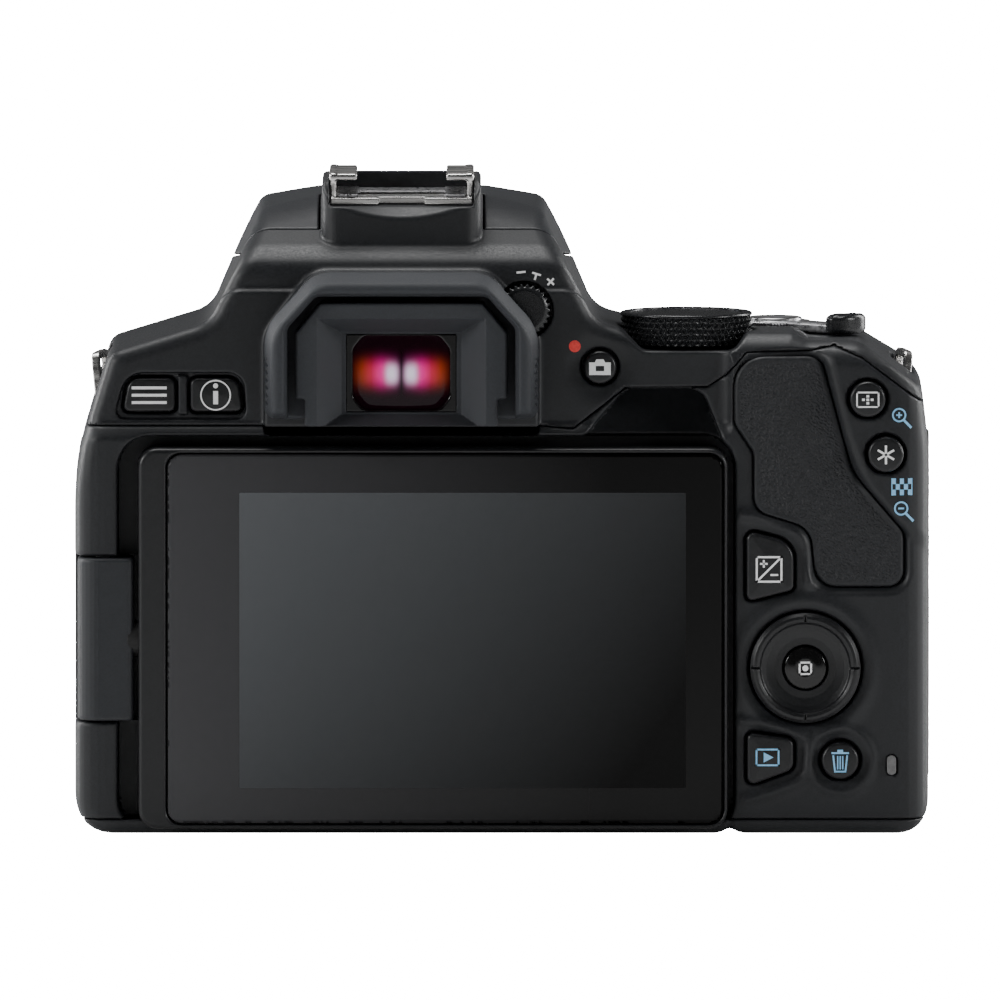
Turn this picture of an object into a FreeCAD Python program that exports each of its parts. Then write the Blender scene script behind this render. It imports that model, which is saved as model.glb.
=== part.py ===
"""A compact digital single-lens reflex camera body, built as an assembly of separate solids.

Frame, in millimetres: +X is to the photographer's right, +Y points along the lens axis towards the subject,
+Z is up.
The origin is the mouth of the tripod socket, in the base plane, straight under the lens axis.
"""

import FreeCAD
import Part

import math
import os

V = FreeCAD.Vector

# ---------------------------------------------------------------- driving dimensions
IMAGE_Y = -4.0  # image plane
FLANGE_Y = IMAGE_Y + 44.0  # lens flange, one register distance in front of the image plane
LENS_Z = 36.0  # height of the lens axis
LEFT_X = -46.4
RIGHT_X = 75.1
REAR_Y = -20.5  # rear face around the controls
UPPER_Y = -18.5  # rear face above the screen
FRONT_Y = 24.0
GRIP_Y = 39.0
DECK_Z = 72.0
LEVER_DECK_Z = 70.7
HUMP_Z = 89.6
WALL = 2.0
BASE = 2.2  # thickness of the base cover
SPLIT_Y = -3.0  # plane between the rear and the front cover
SEAM_Z = 58.4  # joint between the top cover and the covers below it
FIT = 0.15  # gap round parts that are let in
MOVE = 0.25  # gap round parts that move

# Screen panel, its recess and its hinge
PANEL = (-37.7, 46.7, 0.9, 55.6)  # x low, x high, z low, z high
PANEL_REAR_Y = -21.5
PANEL_FRONT_Y = -15.5
RECESS_Y = -15.0
RECESS = (-40.6, 47.7, 0.6, 57.2)
HINGE_Z = (16.4, 39.7)
HINGE_X = (LEFT_X, -38.3)
HINGE_Y = (-21.0, -12.4)
SWING = ((HINGE_X[0] + HINGE_X[1]) / 2, (HINGE_Y[0] + HINGE_Y[1]) / 2)
SWING_CLEAR = 6.4
TILT_Z = sum(HINGE_Z) / 2
TILT_Y = (PANEL_REAR_Y + PANEL_FRONT_Y) / 2
PIN_R = 1.5
RUNNING = 0.05  # radial clearance of a pin in its bore

# Outline of the body from behind: x, z, corner radius
BACK_OUTLINE = [
    (LEFT_X, 0.0, 5.5),
    (LEFT_X, 51.0, 30.0),
    (-41.6, 69.0, 2.4),
    (-27.6, 73.2, 4.5),
    (-20.2, 88.0, 2.2),
    (-12.0, HUMP_Z, 1.0),
    (12.0, HUMP_Z, 1.0),
    (20.2, 88.0, 2.2),
    (27.8, 73.0, 4.5),
    (32.0, DECK_Z, 6.0),
    (56.0, DECK_Z, 0.8),
    (57.6, LEVER_DECK_Z, 0.8),
    (65.6, LEVER_DECK_Z, 3.0),
    (74.4, 64.0, 2.2),
    (RIGHT_X, 55.0, 8.0),
    (RIGHT_X, 0.0, 4.8),
]
# Outline of the body from above: x, y, corner radius
PLAN_OUTLINE = [
    (LEFT_X, REAR_Y, 5.0),
    (RIGHT_X, REAR_Y, 6.5),
    (RIGHT_X, 10.0, 20.0),
    (72.8, GRIP_Y, 9.0),
    (51.5, GRIP_Y, 7.5),
    (46.5, FRONT_Y, 4.0),
    (LEFT_X, FRONT_Y, 12.0),
]
# Side profiles: y, z, corner radius
LEFT_PROFILE = [
    (REAR_Y, 0.0, 0.5),
    (REAR_Y, 56.8, 0.8),
    (UPPER_Y, 58.6, 0.8),
    (UPPER_Y, 80.0, 0.5),
    (18.0, 80.0, 0.5),
    (21.0, 60.0, 6.0),
    (FRONT_Y, 52.0, 6.0),
    (FRONT_Y, 0.0, 1.5),
]
GRIP_SLOPE = ((9.0, DECK_Z), (41.0, 62.0))
GRIP_PROFILE = [
    (REAR_Y, 0.0, 0.5),
    (REAR_Y, 68.2, 1.5),
    (UPPER_Y + 0.5, DECK_Z + 1.0, 0.4),
    (GRIP_SLOPE[0][0], DECK_Z + 1.0, 0.4),
    (GRIP_SLOPE[0][0], DECK_Z, 0.4),
    (GRIP_SLOPE[1][0], GRIP_SLOPE[1][1], 0.5),
    (GRIP_SLOPE[1][0], 0.0, 0.5),
]
HUMP_PROFILE = [
    (UPPER_Y, 55.0, 0.5),
    (UPPER_Y, 81.2, 3.0),
    (-14.5, 84.2, 5.0),
    (-3.0, 89.0, 8.0),
    (4.0, 92.0, 1.0),
    (30.0, 92.0, 1.0),
    (37.5, 87.0, 4.0),
    (37.0, 66.0, 3.0),
    (22.0, 55.0, 1.0),
]
HUMP_HALF = 29.5
BOSS_R = 34.8
BOSS_Y = 37.6
BODY_X = (LEFT_X - 1, RIGHT_X + 1)

# Joint line between the top cover and the covers below it, from behind: x, z
SEAM = [
    (-60.0, SEAM_Z),
    (25.2, SEAM_Z),
    (33.0, 64.4),
    (43.5, 64.4),
    (47.0, 66.4),
    (49.6, 69.2),
    (60.0, 69.2),
    (63.6, 70.0),
    (67.5, 67.8),
    (90.0, 56.0),
]

# Thumb pad outline from behind: x, z, corner radius
THUMB_PAD = [
    (47.7, 68.4, 4.2),
    (59.9, 68.4, 2.2),
    (64.4, 52.0, 9.0),
    (71.7, 43.4, 2.6),
    (71.7, 35.5, 2.2),
    (59.4, 35.5, 3.2),
    (58.6, 44.0, 3.6),
    (50.5, 46.6, 2.6),
    (50.5, 54.9, 3.0),
    (47.7, 59.0, 3.0),
]
PAD_DEPTH = 1.0
PAD_PROUD = 0.35

# Buttons on the rear: centre x, z, radius
ROUND_BUTTONS = {
    "af_point_button": (66.7, 62.6, 2.35),
    "ae_lock_button": (69.3, 54.7, 2.6),
    "erase_button": (62.8, 10.7, 2.75),
}
LIVE_VIEW = (28.4, 67.0, 2.3)
MENU_BUTTON = [(-39.9, 60.6, 0.9), (-32.4, 60.6, 0.9), (-32.4, 65.4, 0.9), (-39.0, 65.4, 1.8)]
INFO_BUTTON = [(-30.2, 60.6, 0.9), (-22.7, 60.6, 0.9), (-23.3, 65.4, 1.8), (-30.2, 65.4, 0.9)]
EXPOSURE_BUTTON = [(49.4, 33.5, 0.8), (56.1, 35.2, 0.9), (56.1, 42.0, 3.2), (49.4, 43.7, 1.0)]
PLAYBACK_BUTTON = [(49.5, 7.0, 0.9), (56.1, 9.4, 1.6), (56.1, 13.8, 1.2), (49.5, 14.7, 0.8)]
BUTTON_PROUD = 0.7
BUTTON_TRAVEL = 0.6
COLLAR_R = 0.7  # how far a key's collar reaches beyond its head
COLLAR_T = 0.7
CROSS = (57.8, 24.0)
CROSS_R = 7.9
SET_R = 3.1

# Top controls
MODE_DIAL = (40.8, -8.0)
MODE_DIAL_R = 9.5
MODE_DIAL_Z = (69.8, 74.8)
LEVER_PIVOT = (53.6, 3.0)
LEVER_TIP = (63.7, -6.5)
MAIN_DIAL = (63.0, 18.0, 63.9)
MAIN_DIAL_R = 6.4
MAIN_DIAL_HALF = 2.3
SHUTTER_AT = (63.2, 30.5)
SHUTTER_TRAVEL = 1.2
ISO_AT = (53.6, 20.5)

# Viewfinder
EYE_Z = 66.6
EYECUP_Y = (-30.0, -21.65)
HOUSING_Y = -21.6
DIOPTRE = (17.6, 75.2)
DIOPTRE_R = 3.8

# Lens mount
RING_R = 32.5
THROAT_R = 27.0
LUG_R = 25.2
RING_T = 3.0

# Flash
FLASH_AXIS = (-6.0, 86.0)
FLASH_EYE_R = 3.6
FLASH_SWEEP_R = 17.5  # the head clears everything on the shoe block within this radius
PEDESTAL_X = 11.4

DOOR_HINGE_X = 48.0
SCREW_R = 1.4


# ---------------------------------------------------------------- geometry helpers
def rounded_points(points):
    """Edges of a closed outline in its own plane: straight runs joined by tangent arcs."""
    corners = []
    count = len(points)
    for i, (u, v, radius) in enumerate(points):
        here = V(u, v, 0)
        before = V(*points[i - 1][:2], 0) - here
        after = V(*points[(i + 1) % count][:2], 0) - here
        before.normalize()
        after.normalize()
        half = before.getAngle(after) / 2
        reach = radius / math.tan(half)
        middle = before + after
        middle.normalize()
        centre = here + middle * (radius / math.sin(half))
        corners.append((here + before * reach, centre - middle * radius, here + after * reach))
    edges = []
    for i, (start, crest, end) in enumerate(corners):
        edges.append(Part.Arc(start, crest, end).toShape())
        following = corners[(i + 1) % count][0]
        if (following - end).Length > 1e-6:
            edges.append(Part.LineSegment(end, following).toShape())
    return edges


def with_radius(points, radius=0.5):
    """A polygon's points with one corner radius for all."""
    return [(u, v, radius) for u, v in points]


def corners(u0, u1, v0, v1, radius):
    """The outline of a rectangle with rounded corners."""
    return with_radius([(u0, v0), (u1, v0), (u1, v1), (u0, v1)], radius)


def area(points, grow=0.0):
    """A flat face from an outline of (u, v, radius), grown or shrunk by an offset."""
    face = Part.Face(Part.Wire(Part.__sortEdges__(rounded_points(points))))
    if grow:
        face = face.makeOffset2D(grow)
        face = face.Faces[0]
    if face.normalAt(0, 0).z < 0:
        face.reverse()
    return face


PLANES = {
    # local u, v and normal directions of each drawing plane
    "x": (V(0, 1, 0), V(0, 0, 1), V(1, 0, 0)),
    "y": (V(1, 0, 0), V(0, 0, 1), V(0, -1, 0)),
    "z": (V(1, 0, 0), V(0, 1, 0), V(0, 0, 1)),
}


def prism(points, along, low, high, grow=0.0):
    """A solid with the outline as its section, from low to high along an axis."""
    u, v, n = PLANES[along]
    face = area(points, grow)
    matrix = FreeCAD.Matrix(u.x, v.x, n.x, 0, u.y, v.y, n.y, 0, u.z, v.z, n.z, 0, 0, 0, 0, 1)
    face.Placement = FreeCAD.Placement(matrix)
    direction = {"x": V(1, 0, 0), "y": V(0, 1, 0), "z": V(0, 0, 1)}[along]
    face.translate(direction * low)
    return face.extrude(direction * (high - low))


def box(x, y, z):
    """A box from three (low, high) pairs."""
    return Part.makeBox(x[1] - x[0], y[1] - y[0], z[1] - z[0], V(x[0], y[0], z[0]))


AXES = {"x": V(1, 0, 0), "y": V(0, 1, 0), "z": V(0, 0, 1)}


def rod(radius, start, length, direction):
    """A cylinder from a start point along an axis letter or a vector."""
    way = AXES[direction] if isinstance(direction, str) else direction
    return Part.makeCylinder(radius, length, V(*start), way)


def one_solid(shape):
    """The largest solid of a shape, without the offcuts beside it."""
    return max(shape.Solids, key=lambda solid: solid.Volume)


def fuse(first, *others):
    return first.multiFuse(list(others)).removeSplitter() if others else first


def cut(shape, *tools):
    for tool in tools:
        shape = shape.cut(tool)
    return shape


def soften(shape, radius, wanted):
    """Rounds the edges for which wanted(edge) is true."""
    return shape.makeFillet(radius, [e for e in shape.Edges if wanted(e)])


def at_y(edge, y):
    """True for an edge that lies wholly at one depth."""
    return abs(edge.BoundBox.YMin - y) < 1e-4 and abs(edge.BoundBox.YMax - y) < 1e-4


def at_z(edge, z):
    return abs(edge.BoundBox.ZMin - z) < 1e-4 and abs(edge.BoundBox.ZMax - z) < 1e-4


def slope_z(y):
    """Height of the sloping top of the grip."""
    (y0, z0), (y1, z1) = GRIP_SLOPE
    return z0 + (z1 - z0) * (y - y0) / (y1 - y0)


SLOPE_NORMAL = V(0, GRIP_SLOPE[0][1] - GRIP_SLOPE[1][1], GRIP_SLOPE[1][0] - GRIP_SLOPE[0][0])
SLOPE_NORMAL.normalize()


# ---------------------------------------------------------------- outer form of the body
def body_form(inset=0.0):
    """The whole outer form, or the same form shrunk by an inset for the hollow inside."""
    back = prism(BACK_OUTLINE, "y", -40, 60, -inset)
    plan = prism(PLAN_OUTLINE, "z", -1, 95, -inset)
    left = prism(LEFT_PROFILE, "x", BODY_X[0], 47.0 - inset, -inset)
    grip = prism(GRIP_PROFILE, "x", 47.0 - inset, BODY_X[1], -inset)
    hump = prism(HUMP_PROFILE, "x", -HUMP_HALF + inset, HUMP_HALF - inset, -inset)
    boss = rod(BOSS_R - inset, (0, 0, LENS_Z), BOSS_Y - inset, "y")
    trunk = fuse(left, grip).common(plan)
    return fuse(trunk, hump, boss).common(back)


def seam_tool(below):
    """Everything above, or below, the joint line of the top cover."""
    far = -10 if below else 120
    points = SEAM + [(90.0, far), (-60.0, far)]
    wire = Part.makePolygon([V(x, -60, z) for x, z in points] + [V(SEAM[0][0], -60, SEAM[0][1])])
    return Part.Face(wire).extrude(V(0, 140, 0))


def eyepiece_housing():
    """The raised block that carries the eyepiece, on the rear of the hump."""
    points = [(-19.6, 57.4, 0.6), (19.6, 57.4, 0.6), (19.6, 72.0, 5.5), (12.8, 80.8, 4.5)]
    points += [(-12.8, 80.8, 4.5), (-19.6, 72.0, 5.5)]
    return prism(points, "y", HOUSING_Y, -12.0)


def pedestal():
    """The block under the accessory shoe."""
    block = prism(corners(-PEDESTAL_X, PEDESTAL_X, -14.5, 9.5, 2.5),
                  "z", 79.2, 93.6)
    block = cut(block, box((-9.0, 9.0), (-12.0, 7.5), (70, 87.4)))
    shoe_seat = box((-10.3, 10.3), (-30, 9.6), (89.6, 95))
    slope = with_radius([(-20.0, 88.2), (-11.4, 91.2), (-11.4, 97.0), (-20.0, 97.0)], 0.2)
    rear_slope = prism(slope, "x", -8.9, 8.9)
    return cut(block, shoe_seat, rear_slope)


def flash_space(grow):
    """Outline of the folded flash as a solid: a head in front of the shoe and an arm on each side of it."""
    across = 30.0
    head = box((-across, across), (9.9 - grow, 60), (81.0 - grow, 95))
    middle = PEDESTAL_X + 0.45 - grow
    head = head.cut(rod(FLASH_SWEEP_R - grow, (-middle, *FLASH_AXIS), 2 * middle, "x"))
    arms = []
    for side in (-1, 1):
        span = sorted((side * (PEDESTAL_X + 0.45 - grow), side * across))
        y, z = FLASH_AXIS
        eye = rod(FLASH_EYE_R + grow, (span[0], y, z), span[1] - span[0], "x")
        side_view = [(y, z - FLASH_EYE_R - grow), (12.0, 81.0 - grow), (12.0, 95.0), (y, 95.0)]
        bar = prism(with_radius(side_view, 0.1), "x", *span)
        arms += [eye, bar]
    return fuse(head, *arms)


OUTER_FORM = body_form()
INNER_FORM = body_form(WALL)


def outer():
    """A fresh copy of the outer form, since the cuts below may loosen the shape they are given."""
    return OUTER_FORM.copy()


def inner():
    return INNER_FORM.copy()


# ---------------------------------------------------------------- outer covers
def lcd_recess():
    x0, x1, z0, z1 = RECESS
    space = prism(corners(x0, x1, z0, z1, 2.2), "y", -30, RECESS_Y)
    outline = [(24.4, 55.0, 0.5), (46.6, 55.0, 0.5), (43.6, 63.8, 2.0), (32.8, 63.8, 2.0)]
    notch = prism(outline, "y", -30, RECESS_Y)
    return fuse(space, notch)


def hinge_space():
    """Room in the covers for the swinging hinge block."""
    z0, z1 = HINGE_Z
    cylinder = rod(SWING_CLEAR, (*SWING, z0 - MOVE), z1 - z0 + 2 * MOVE, "z")
    corner = box((LEFT_X - 2, SWING[0]), (-30, SWING[1]), (z0 - MOVE, z1 + MOVE))
    rear = box((SWING[0] - 1, -37.0), (-30, SWING[1]), (z0 - MOVE, z1 + MOVE))
    return fuse(cylinder, corner, rear)


def pins_space(grow):
    z0, z1 = HINGE_Z
    return [
        rod(PIN_R + grow, (*SWING, z1 - 1.5), 5.0, "z"),
        rod(PIN_R + grow, (*SWING, z0 - 3.5), 5.0, "z"),
    ]


def rear_openings():
    """Holes in the rear cover for the buttons and the keys."""
    holes = [
        rod(r + MOVE, (x, -30, z), 16, "y")
        for x, z, r in ROUND_BUTTONS.values()
    ]
    holes += [prism(shape, "y", -30, -14, MOVE) for shape in (EXPOSURE_BUTTON, PLAYBACK_BUTTON)]
    holes.append(rod(CROSS_R + MOVE + 0.1, (CROSS[0], -30, CROSS[1]), 16, "y"))
    holes.append(lamp_outline(FIT))
    holes.append(prism(THUMB_PAD, "y", -30, REAR_Y + PAD_DEPTH, FIT))
    return holes + collar_rooms()


def collar_rooms():
    """Room behind the rear wall for the collars of the keys that sit close to a thicker part of it."""
    low, high = REAR_Y + WALL, REAR_Y + WALL + COLLAR_T + BUTTON_TRAVEL + 0.5
    rooms = [prism(shape, "y", low, high, COLLAR_R + MOVE) for shape in (EXPOSURE_BUTTON, PLAYBACK_BUTTON)]
    for x, z, r in ROUND_BUTTONS.values():
        rooms.append(rod(r + COLLAR_R + MOVE, (x, low, z), high - low, "y"))
    return rooms


def lamp_outline(grow):
    return prism(corners(69.5, 70.7, 8.6, 11.4, 0.55), "y", -21.0, -18.0, grow)


def base_zone():
    return box((-60, 90), (-40, 60), (-1, BASE))


def boss_zone():
    return rod(BOSS_R + 0.01, (0, FRONT_Y - 0.5, LENS_Z), 20, "y")


def battery_door_outline(grow=0.0):
    points = corners(47.5, 71.5, -6.0, 33.5, 3.0)
    return prism(points, "z", -0.01, BASE + 0.01, grow)


def left_port_outline(grow=0.0, depth=(LEFT_X - 1, LEFT_X + 1.2)):
    return prism(corners(-1.5, 11.0, 33.0, 55.0, 2.0), "x", *depth, grow)


def right_port_outline(grow=0.0, depth=(RIGHT_X - 1.2, RIGHT_X + 1)):
    return prism(corners(-13.6, -3.6, 17.6, 34.8, 2.0), "x", *depth, grow)


def rear_cover():
    shell = outer().cut(inner()).common(seam_tool(True)).common(box((-60, 90), (-40, SPLIT_Y), (BASE, 95)))
    x0, x1, _, z1 = RECESS
    floor = box((x0 - WALL, x1 + WALL), (-19.5, RECESS_Y + WALL), (BASE, z1 + 1.0)).common(outer())
    knuckles = [
        box((LEFT_X + 1, -38.6), (-19.5, -12.5), span).common(outer())
        for span in ((HINGE_Z[0] - 4.5, HINGE_Z[0] - MOVE), (HINGE_Z[1] + MOVE, HINGE_Z[1] + 4.5))
    ]
    inside_back = box((x0 - WALL, -36.0), (-13.5, -9.0), (HINGE_Z[0] - 2, HINGE_Z[1] + 2))
    behind_notch = [(22.0, 55.0, 0.5), (47.5, 55.0, 0.5), (46.0, 66.0, 2.0), (31.0, 66.0, 2.0)]
    screen = prism(behind_notch, "y", -17.5, -13.0)
    screen = screen.common(seam_tool(True)).common(outer())
    screen = screen.cut(rod(LIVE_VIEW[2] + 1.2, (LIVE_VIEW[0], -30, LIVE_VIEW[1]), 20, "y"))
    shell = fuse(shell, floor, inside_back, screen, *knuckles)
    shell = cut(shell, lcd_recess(), hinge_space(), *pins_space(RUNNING))
    shell = cut(shell, *rear_openings(), eyepiece_housing())
    shell = cut(shell, right_port_outline(FIT), port_hole(1))
    return one_solid(shell)


def front_cover():
    lower = outer().cut(inner()).common(box((-60, 90), (SPLIT_Y, 60), (BASE, 95)))
    below = lower.common(seam_tool(True))
    around_mount = outer().common(boss_zone()).common(box((-60, 90), (SPLIT_Y, 60), (BASE, 95)))
    shell = fuse(below, around_mount)
    throat = rod(RING_R + FIT, (0, -10, LENS_Z), 60, "y")
    shell = cut(shell, throat, left_port_outline(FIT))
    lamp = rod(2.1 + FIT, (44.5, 15, 50.5), 20, "y")
    shell = cut(shell, prism(RELEASE, "y", 15, 40, MOVE), lamp, hinge_space())
    shell = cut(shell, port_hole(-1), main_dial_well(), *top_button_wells(), lever_well(), *lug_slots())
    shell = fuse(shell, main_dial_bracket().common(outer()))
    return one_solid(shell)


RELEASE = [(-42.4, 25.0, 2.2), (-36.4, 25.0, 2.2), (-36.4, 37.0, 2.2), (-42.4, 37.0, 2.2)]


def port_hole(sign):
    """Opening in the side wall behind a terminal cover."""
    if sign < 0:
        return prism(corners(0.3, 9.7, 35.0, 53.0, 1.0),
                     "x", LEFT_X - 3, LEFT_X + 4)
    return prism(corners(-12.2, -5.0, 19.4, 33.0, 1.0),
                 "x", RIGHT_X - 4, RIGHT_X + 3)


def top_cover():
    shell = outer().cut(inner()).common(seam_tool(False)).cut(boss_zone())
    housing = eyepiece_housing().common(seam_tool(False))
    x, y = MODE_DIAL
    dial_seat = rod(11.8, (x, y, 67.2), 2.4, "z").common(outer()).common(seam_tool(False))
    shell = fuse(shell, housing, pedestal(), dial_seat)
    flash_floor = outer().common(box((-40, 40), (-16, 60), (79.0, 84.0))).common(flash_floor_zone())
    shell = fuse(shell, flash_floor, eyepiece_sleeve())
    shell = fuse(cut(shell, flash_space(FIT)), *flash_pivots())
    tunnel = prism(corners(-7.0, 7.0, EYE_Z - 5.4, EYE_Z + 5.4, 2.6), "y", -40, 0)
    dioptre = rod(DIOPTRE_R + MOVE, (DIOPTRE[0], -40, DIOPTRE[1]), 40 - 16.4, "y")
    dioptre_stem = rod(1.2 + MOVE, (DIOPTRE[0], -40, DIOPTRE[1]), 30, "y")
    live_view = rod(LIVE_VIEW[2] + MOVE, (LIVE_VIEW[0], -30, LIVE_VIEW[1]), 16, "y")
    shell = cut(shell, tunnel, dioptre, dioptre_stem, lcd_recess(), live_view)
    shell = cut(shell, *[prism(shape, "y", -30, -14, MOVE) for shape in (MENU_BUTTON, INFO_BUTTON)])
    shell = cut(shell, mode_dial_well(), lever_well(), main_dial_well(), *top_button_wells(), *lug_slots())
    return one_solid(shell)


def flash_floor_zone():
    """A two-millimetre floor that follows the underside of the folded flash."""
    below = flash_space(FIT + WALL)
    return below.cut(flash_space(FIT))


def mode_dial_well():
    x, y = MODE_DIAL
    well = rod(MODE_DIAL_R + MOVE, (x, y, MODE_DIAL_Z[0] - 0.3), 10, "z")
    stem = rod(2.0 + MOVE, (x, y, 60), 20, "z")
    slot = prism([(33.4, 69.5, 0.8), (48.2, 69.5, 0.8), (50.4, 74.0, 0.5), (31.2, 74.0, 0.5)], "y", -30, y)
    return fuse(well, stem, slot)


def lever_well():
    x, y = LEVER_PIVOT
    return fuse(rod(6.6, (x, y, 71.0), 6, "z"), rod(2.0 + MOVE, (x, y, 60), 20, "z"))


def main_dial_well():
    x, y, z = MAIN_DIAL
    return rod(MAIN_DIAL_R + 0.35, (x - MAIN_DIAL_HALF - 0.35, y, z), 2 * MAIN_DIAL_HALF + 0.7, "x")


def top_button_wells():
    wells = []
    for (x, y), radius in ((ISO_AT, 2.1), (SHUTTER_AT, 4.6)):
        foot = V(x, y, slope_z(y)) - SLOPE_NORMAL * 8
        wells.append(rod(radius + MOVE, foot, 16, SLOPE_NORMAL))
    return wells


def base_cover():
    plate = outer().common(base_zone())
    x0, x1, z0, _ = RECESS
    shelf = box((x0, x1), (-30, RECESS_Y), (z0, 10))
    socket = rod(6.0 + FIT, (0, 0, -1), 10, "z")
    screws = [rod(SCREW_R + 0.1, (x, y, -1), 10, "z") for x, y in BASE_SCREWS]
    heads = [rod(2.4 + 0.1, (x, y, -1), 2.0, "z") for x, y in BASE_SCREWS]
    hinge_room = box((DOOR_HINGE_X - 0.8, DOOR_HINGE_X + 2.0), (-5.0, 32.5), (-1, BASE + 1))
    return one_solid(cut(plate, shelf, socket, battery_door_outline(FIT), hinge_room, *screws, *heads))


BASE_SCREWS = [(-38.0, 14.0), (-38.0, -8.0), (38.0, 18.0), (20.0, -10.0)]


def case_screws():
    """Pan-head screws that hold the base cover, one solid each."""
    screws = []
    for x, y in BASE_SCREWS:
        head = rod(2.4, (x, y, 0.25), 0.75, "z")
        recess = fuse(box((x - 1.3, x + 1.3), (y - 0.25, y + 0.25), (0, 0.7)),
                      box((x - 0.25, x + 0.25), (y - 1.3, y + 1.3), (0, 0.7)))
        screws.append(fuse(head, rod(SCREW_R, (x, y, 1.0), 4.0, "z")).cut(recess))
    return Part.makeCompound(screws)


def grip_rubber():
    """The rubber skin round the grip: a thin layer outside the front cover."""
    skin = prism(PLAN_OUTLINE, "z", 6.0, 56.0, 0.7).common(box((46.9, 90), (SPLIT_Y + 11, 60), (0, 95)))
    return one_solid(skin.cut(prism(PLAN_OUTLINE, "z", 0.0, 60.0)))


def thumb_rest():
    pad = prism(THUMB_PAD, "y", REAR_Y - PAD_PROUD, REAR_Y + PAD_DEPTH)
    return soften(pad, 0.3, lambda e: at_y(e, REAR_Y - PAD_PROUD))


# ---------------------------------------------------------------- buttons, dials and levers
def pressed_head(head, stem, y_front):
    return soften(fuse(head, stem), 0.35, lambda e: at_y(e, y_front))


def round_button(x, z, r, face_y):
    """A round key: a crowned head and a wider collar behind the wall."""
    head = rod(r, (x, face_y - BUTTON_PROUD, z), BUTTON_PROUD + 2.3, "y")
    collar = rod(r + COLLAR_R, (x, face_y + WALL + 0.2, z), COLLAR_T, "y")
    return pressed_head(head, collar, face_y - BUTTON_PROUD)


def shaped_button(outline, face_y):
    head = prism(outline, "y", face_y - BUTTON_PROUD, face_y + 2.3)
    collar = prism(outline, "y", face_y + WALL + 0.2, face_y + WALL + 0.2 + COLLAR_T, COLLAR_R)
    return pressed_head(head, collar, face_y - BUTTON_PROUD)


def cross_key_ring():
    """The four-way ring with a dished face."""
    x, z = CROSS
    section = [(3.6, -18.7), (CROSS_R, -18.7), (CROSS_R, -20.9), (7.5, -21.3), (6.7, -21.2), (6.2, -20.7)]
    section.append((3.6, -20.5))
    wire = Part.makePolygon([V(x + r, y, z) for r, y in section] + [V(x + section[0][0], section[0][1], z)])
    return Part.Face(wire).revolve(V(x, 0, z), V(0, 1, 0), 360)


def cross_key_plate():
    x, z = CROSS
    return rod(5.4, (x, -18.25, z), 0.8, "y").cut(rod(3.6, (x, -19, z), 4, "y"))


def set_button():
    x, z = CROSS
    head = rod(SET_R, (x, -21.2, z), 5.0, "y")
    collar = rod(SET_R + 1.6, (x, -17.0, z), 0.8, "y")
    return pressed_head(head, collar, -21.2)


def mode_dial():
    """Dial with a row of fine grooves round its rim."""
    x, y = MODE_DIAL
    z0, z1 = MODE_DIAL_Z
    body = rod(MODE_DIAL_R, (x, y, z0), z1 - z0, "z")
    body = soften(body, 0.7, lambda e: at_z(e, z1))
    grooves = []
    count = 48
    for i in range(count):
        turn = 2 * math.pi * i / count
        reach = MODE_DIAL_R + 0.22
        foot = V(x + reach * math.cos(turn), y + reach * math.sin(turn), z0 - 1)
        grooves.append(Part.makeCylinder(0.45, z1 - z0 - 0.2, foot))
    return fuse(cut(body, Part.makeCompound(grooves)), rod(2.0, (x, y, 63.0), z0 - 62.0, "z"))


def power_lever():
    """On-off lever: a round hub, an arm and a raised finger tab."""
    x, y = LEVER_PIVOT
    tip_x, tip_y = LEVER_TIP
    hub = soften(rod(5.2, (x, y, 71.15), 1.55, "z"), 0.4, lambda e: at_z(e, 72.7))
    way = V(tip_x - x, tip_y - y, 0)
    length = way.Length
    turn = math.degrees(math.atan2(way.y, way.x))
    arm = Part.makeBox(length, 4.2, 1.5, V(0, -2.1, 72.2 - 1.0))
    tab = soften(Part.makeBox(3.6, 6.6, 2.9, V(length - 1.8, -3.3, 70.95)), 0.9, lambda e: True)
    arm = fuse(arm, tab)
    arm.rotate(V(0, 0, 0), V(0, 0, 1), turn)
    arm.translate(V(x, y, 0))
    return fuse(hub, arm, rod(2.0, (x, y, 66.0), 5.3, "z"))


def main_dial():
    """Ribbed wheel on a cross axle."""
    x, y, z = MAIN_DIAL
    wheel = rod(MAIN_DIAL_R, (x - MAIN_DIAL_HALF, y, z), 2 * MAIN_DIAL_HALF, "x")
    wheel = soften(wheel, 0.5, lambda e: True)
    count = 30
    grooves = []
    for i in range(count):
        turn = 2 * math.pi * i / count
        centre = (x - 5, y + (MAIN_DIAL_R + 0.1) * math.cos(turn), z + (MAIN_DIAL_R + 0.1) * math.sin(turn))
        grooves.append(rod(0.42, centre, 10, "x"))
    axle = rod(1.2, (x - 4.5, y, z), 9.0, "x")
    return fuse(cut(wheel, Part.makeCompound(grooves)), axle)


def main_dial_bracket():
    """Two ears under the top cover that hold the wheel's axle."""
    x, y, z = MAIN_DIAL
    ears = []
    for side in (-1, 1):
        near = x + side * (MAIN_DIAL_HALF + 0.5)
        ears.append(box(sorted((near, near + side * 1.4)), (y - 2.5, y + 2.5), (z - 8.0, z + 4.0)))
    strap = box((x - 4.2, x + 4.2), (y - 2.5, y + 2.5), (z - 8.0, z - 7.0))
    return fuse(strap, *ears).cut(rod(1.2 + RUNNING, (x - 9, y, z), 18, "x"))


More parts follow.
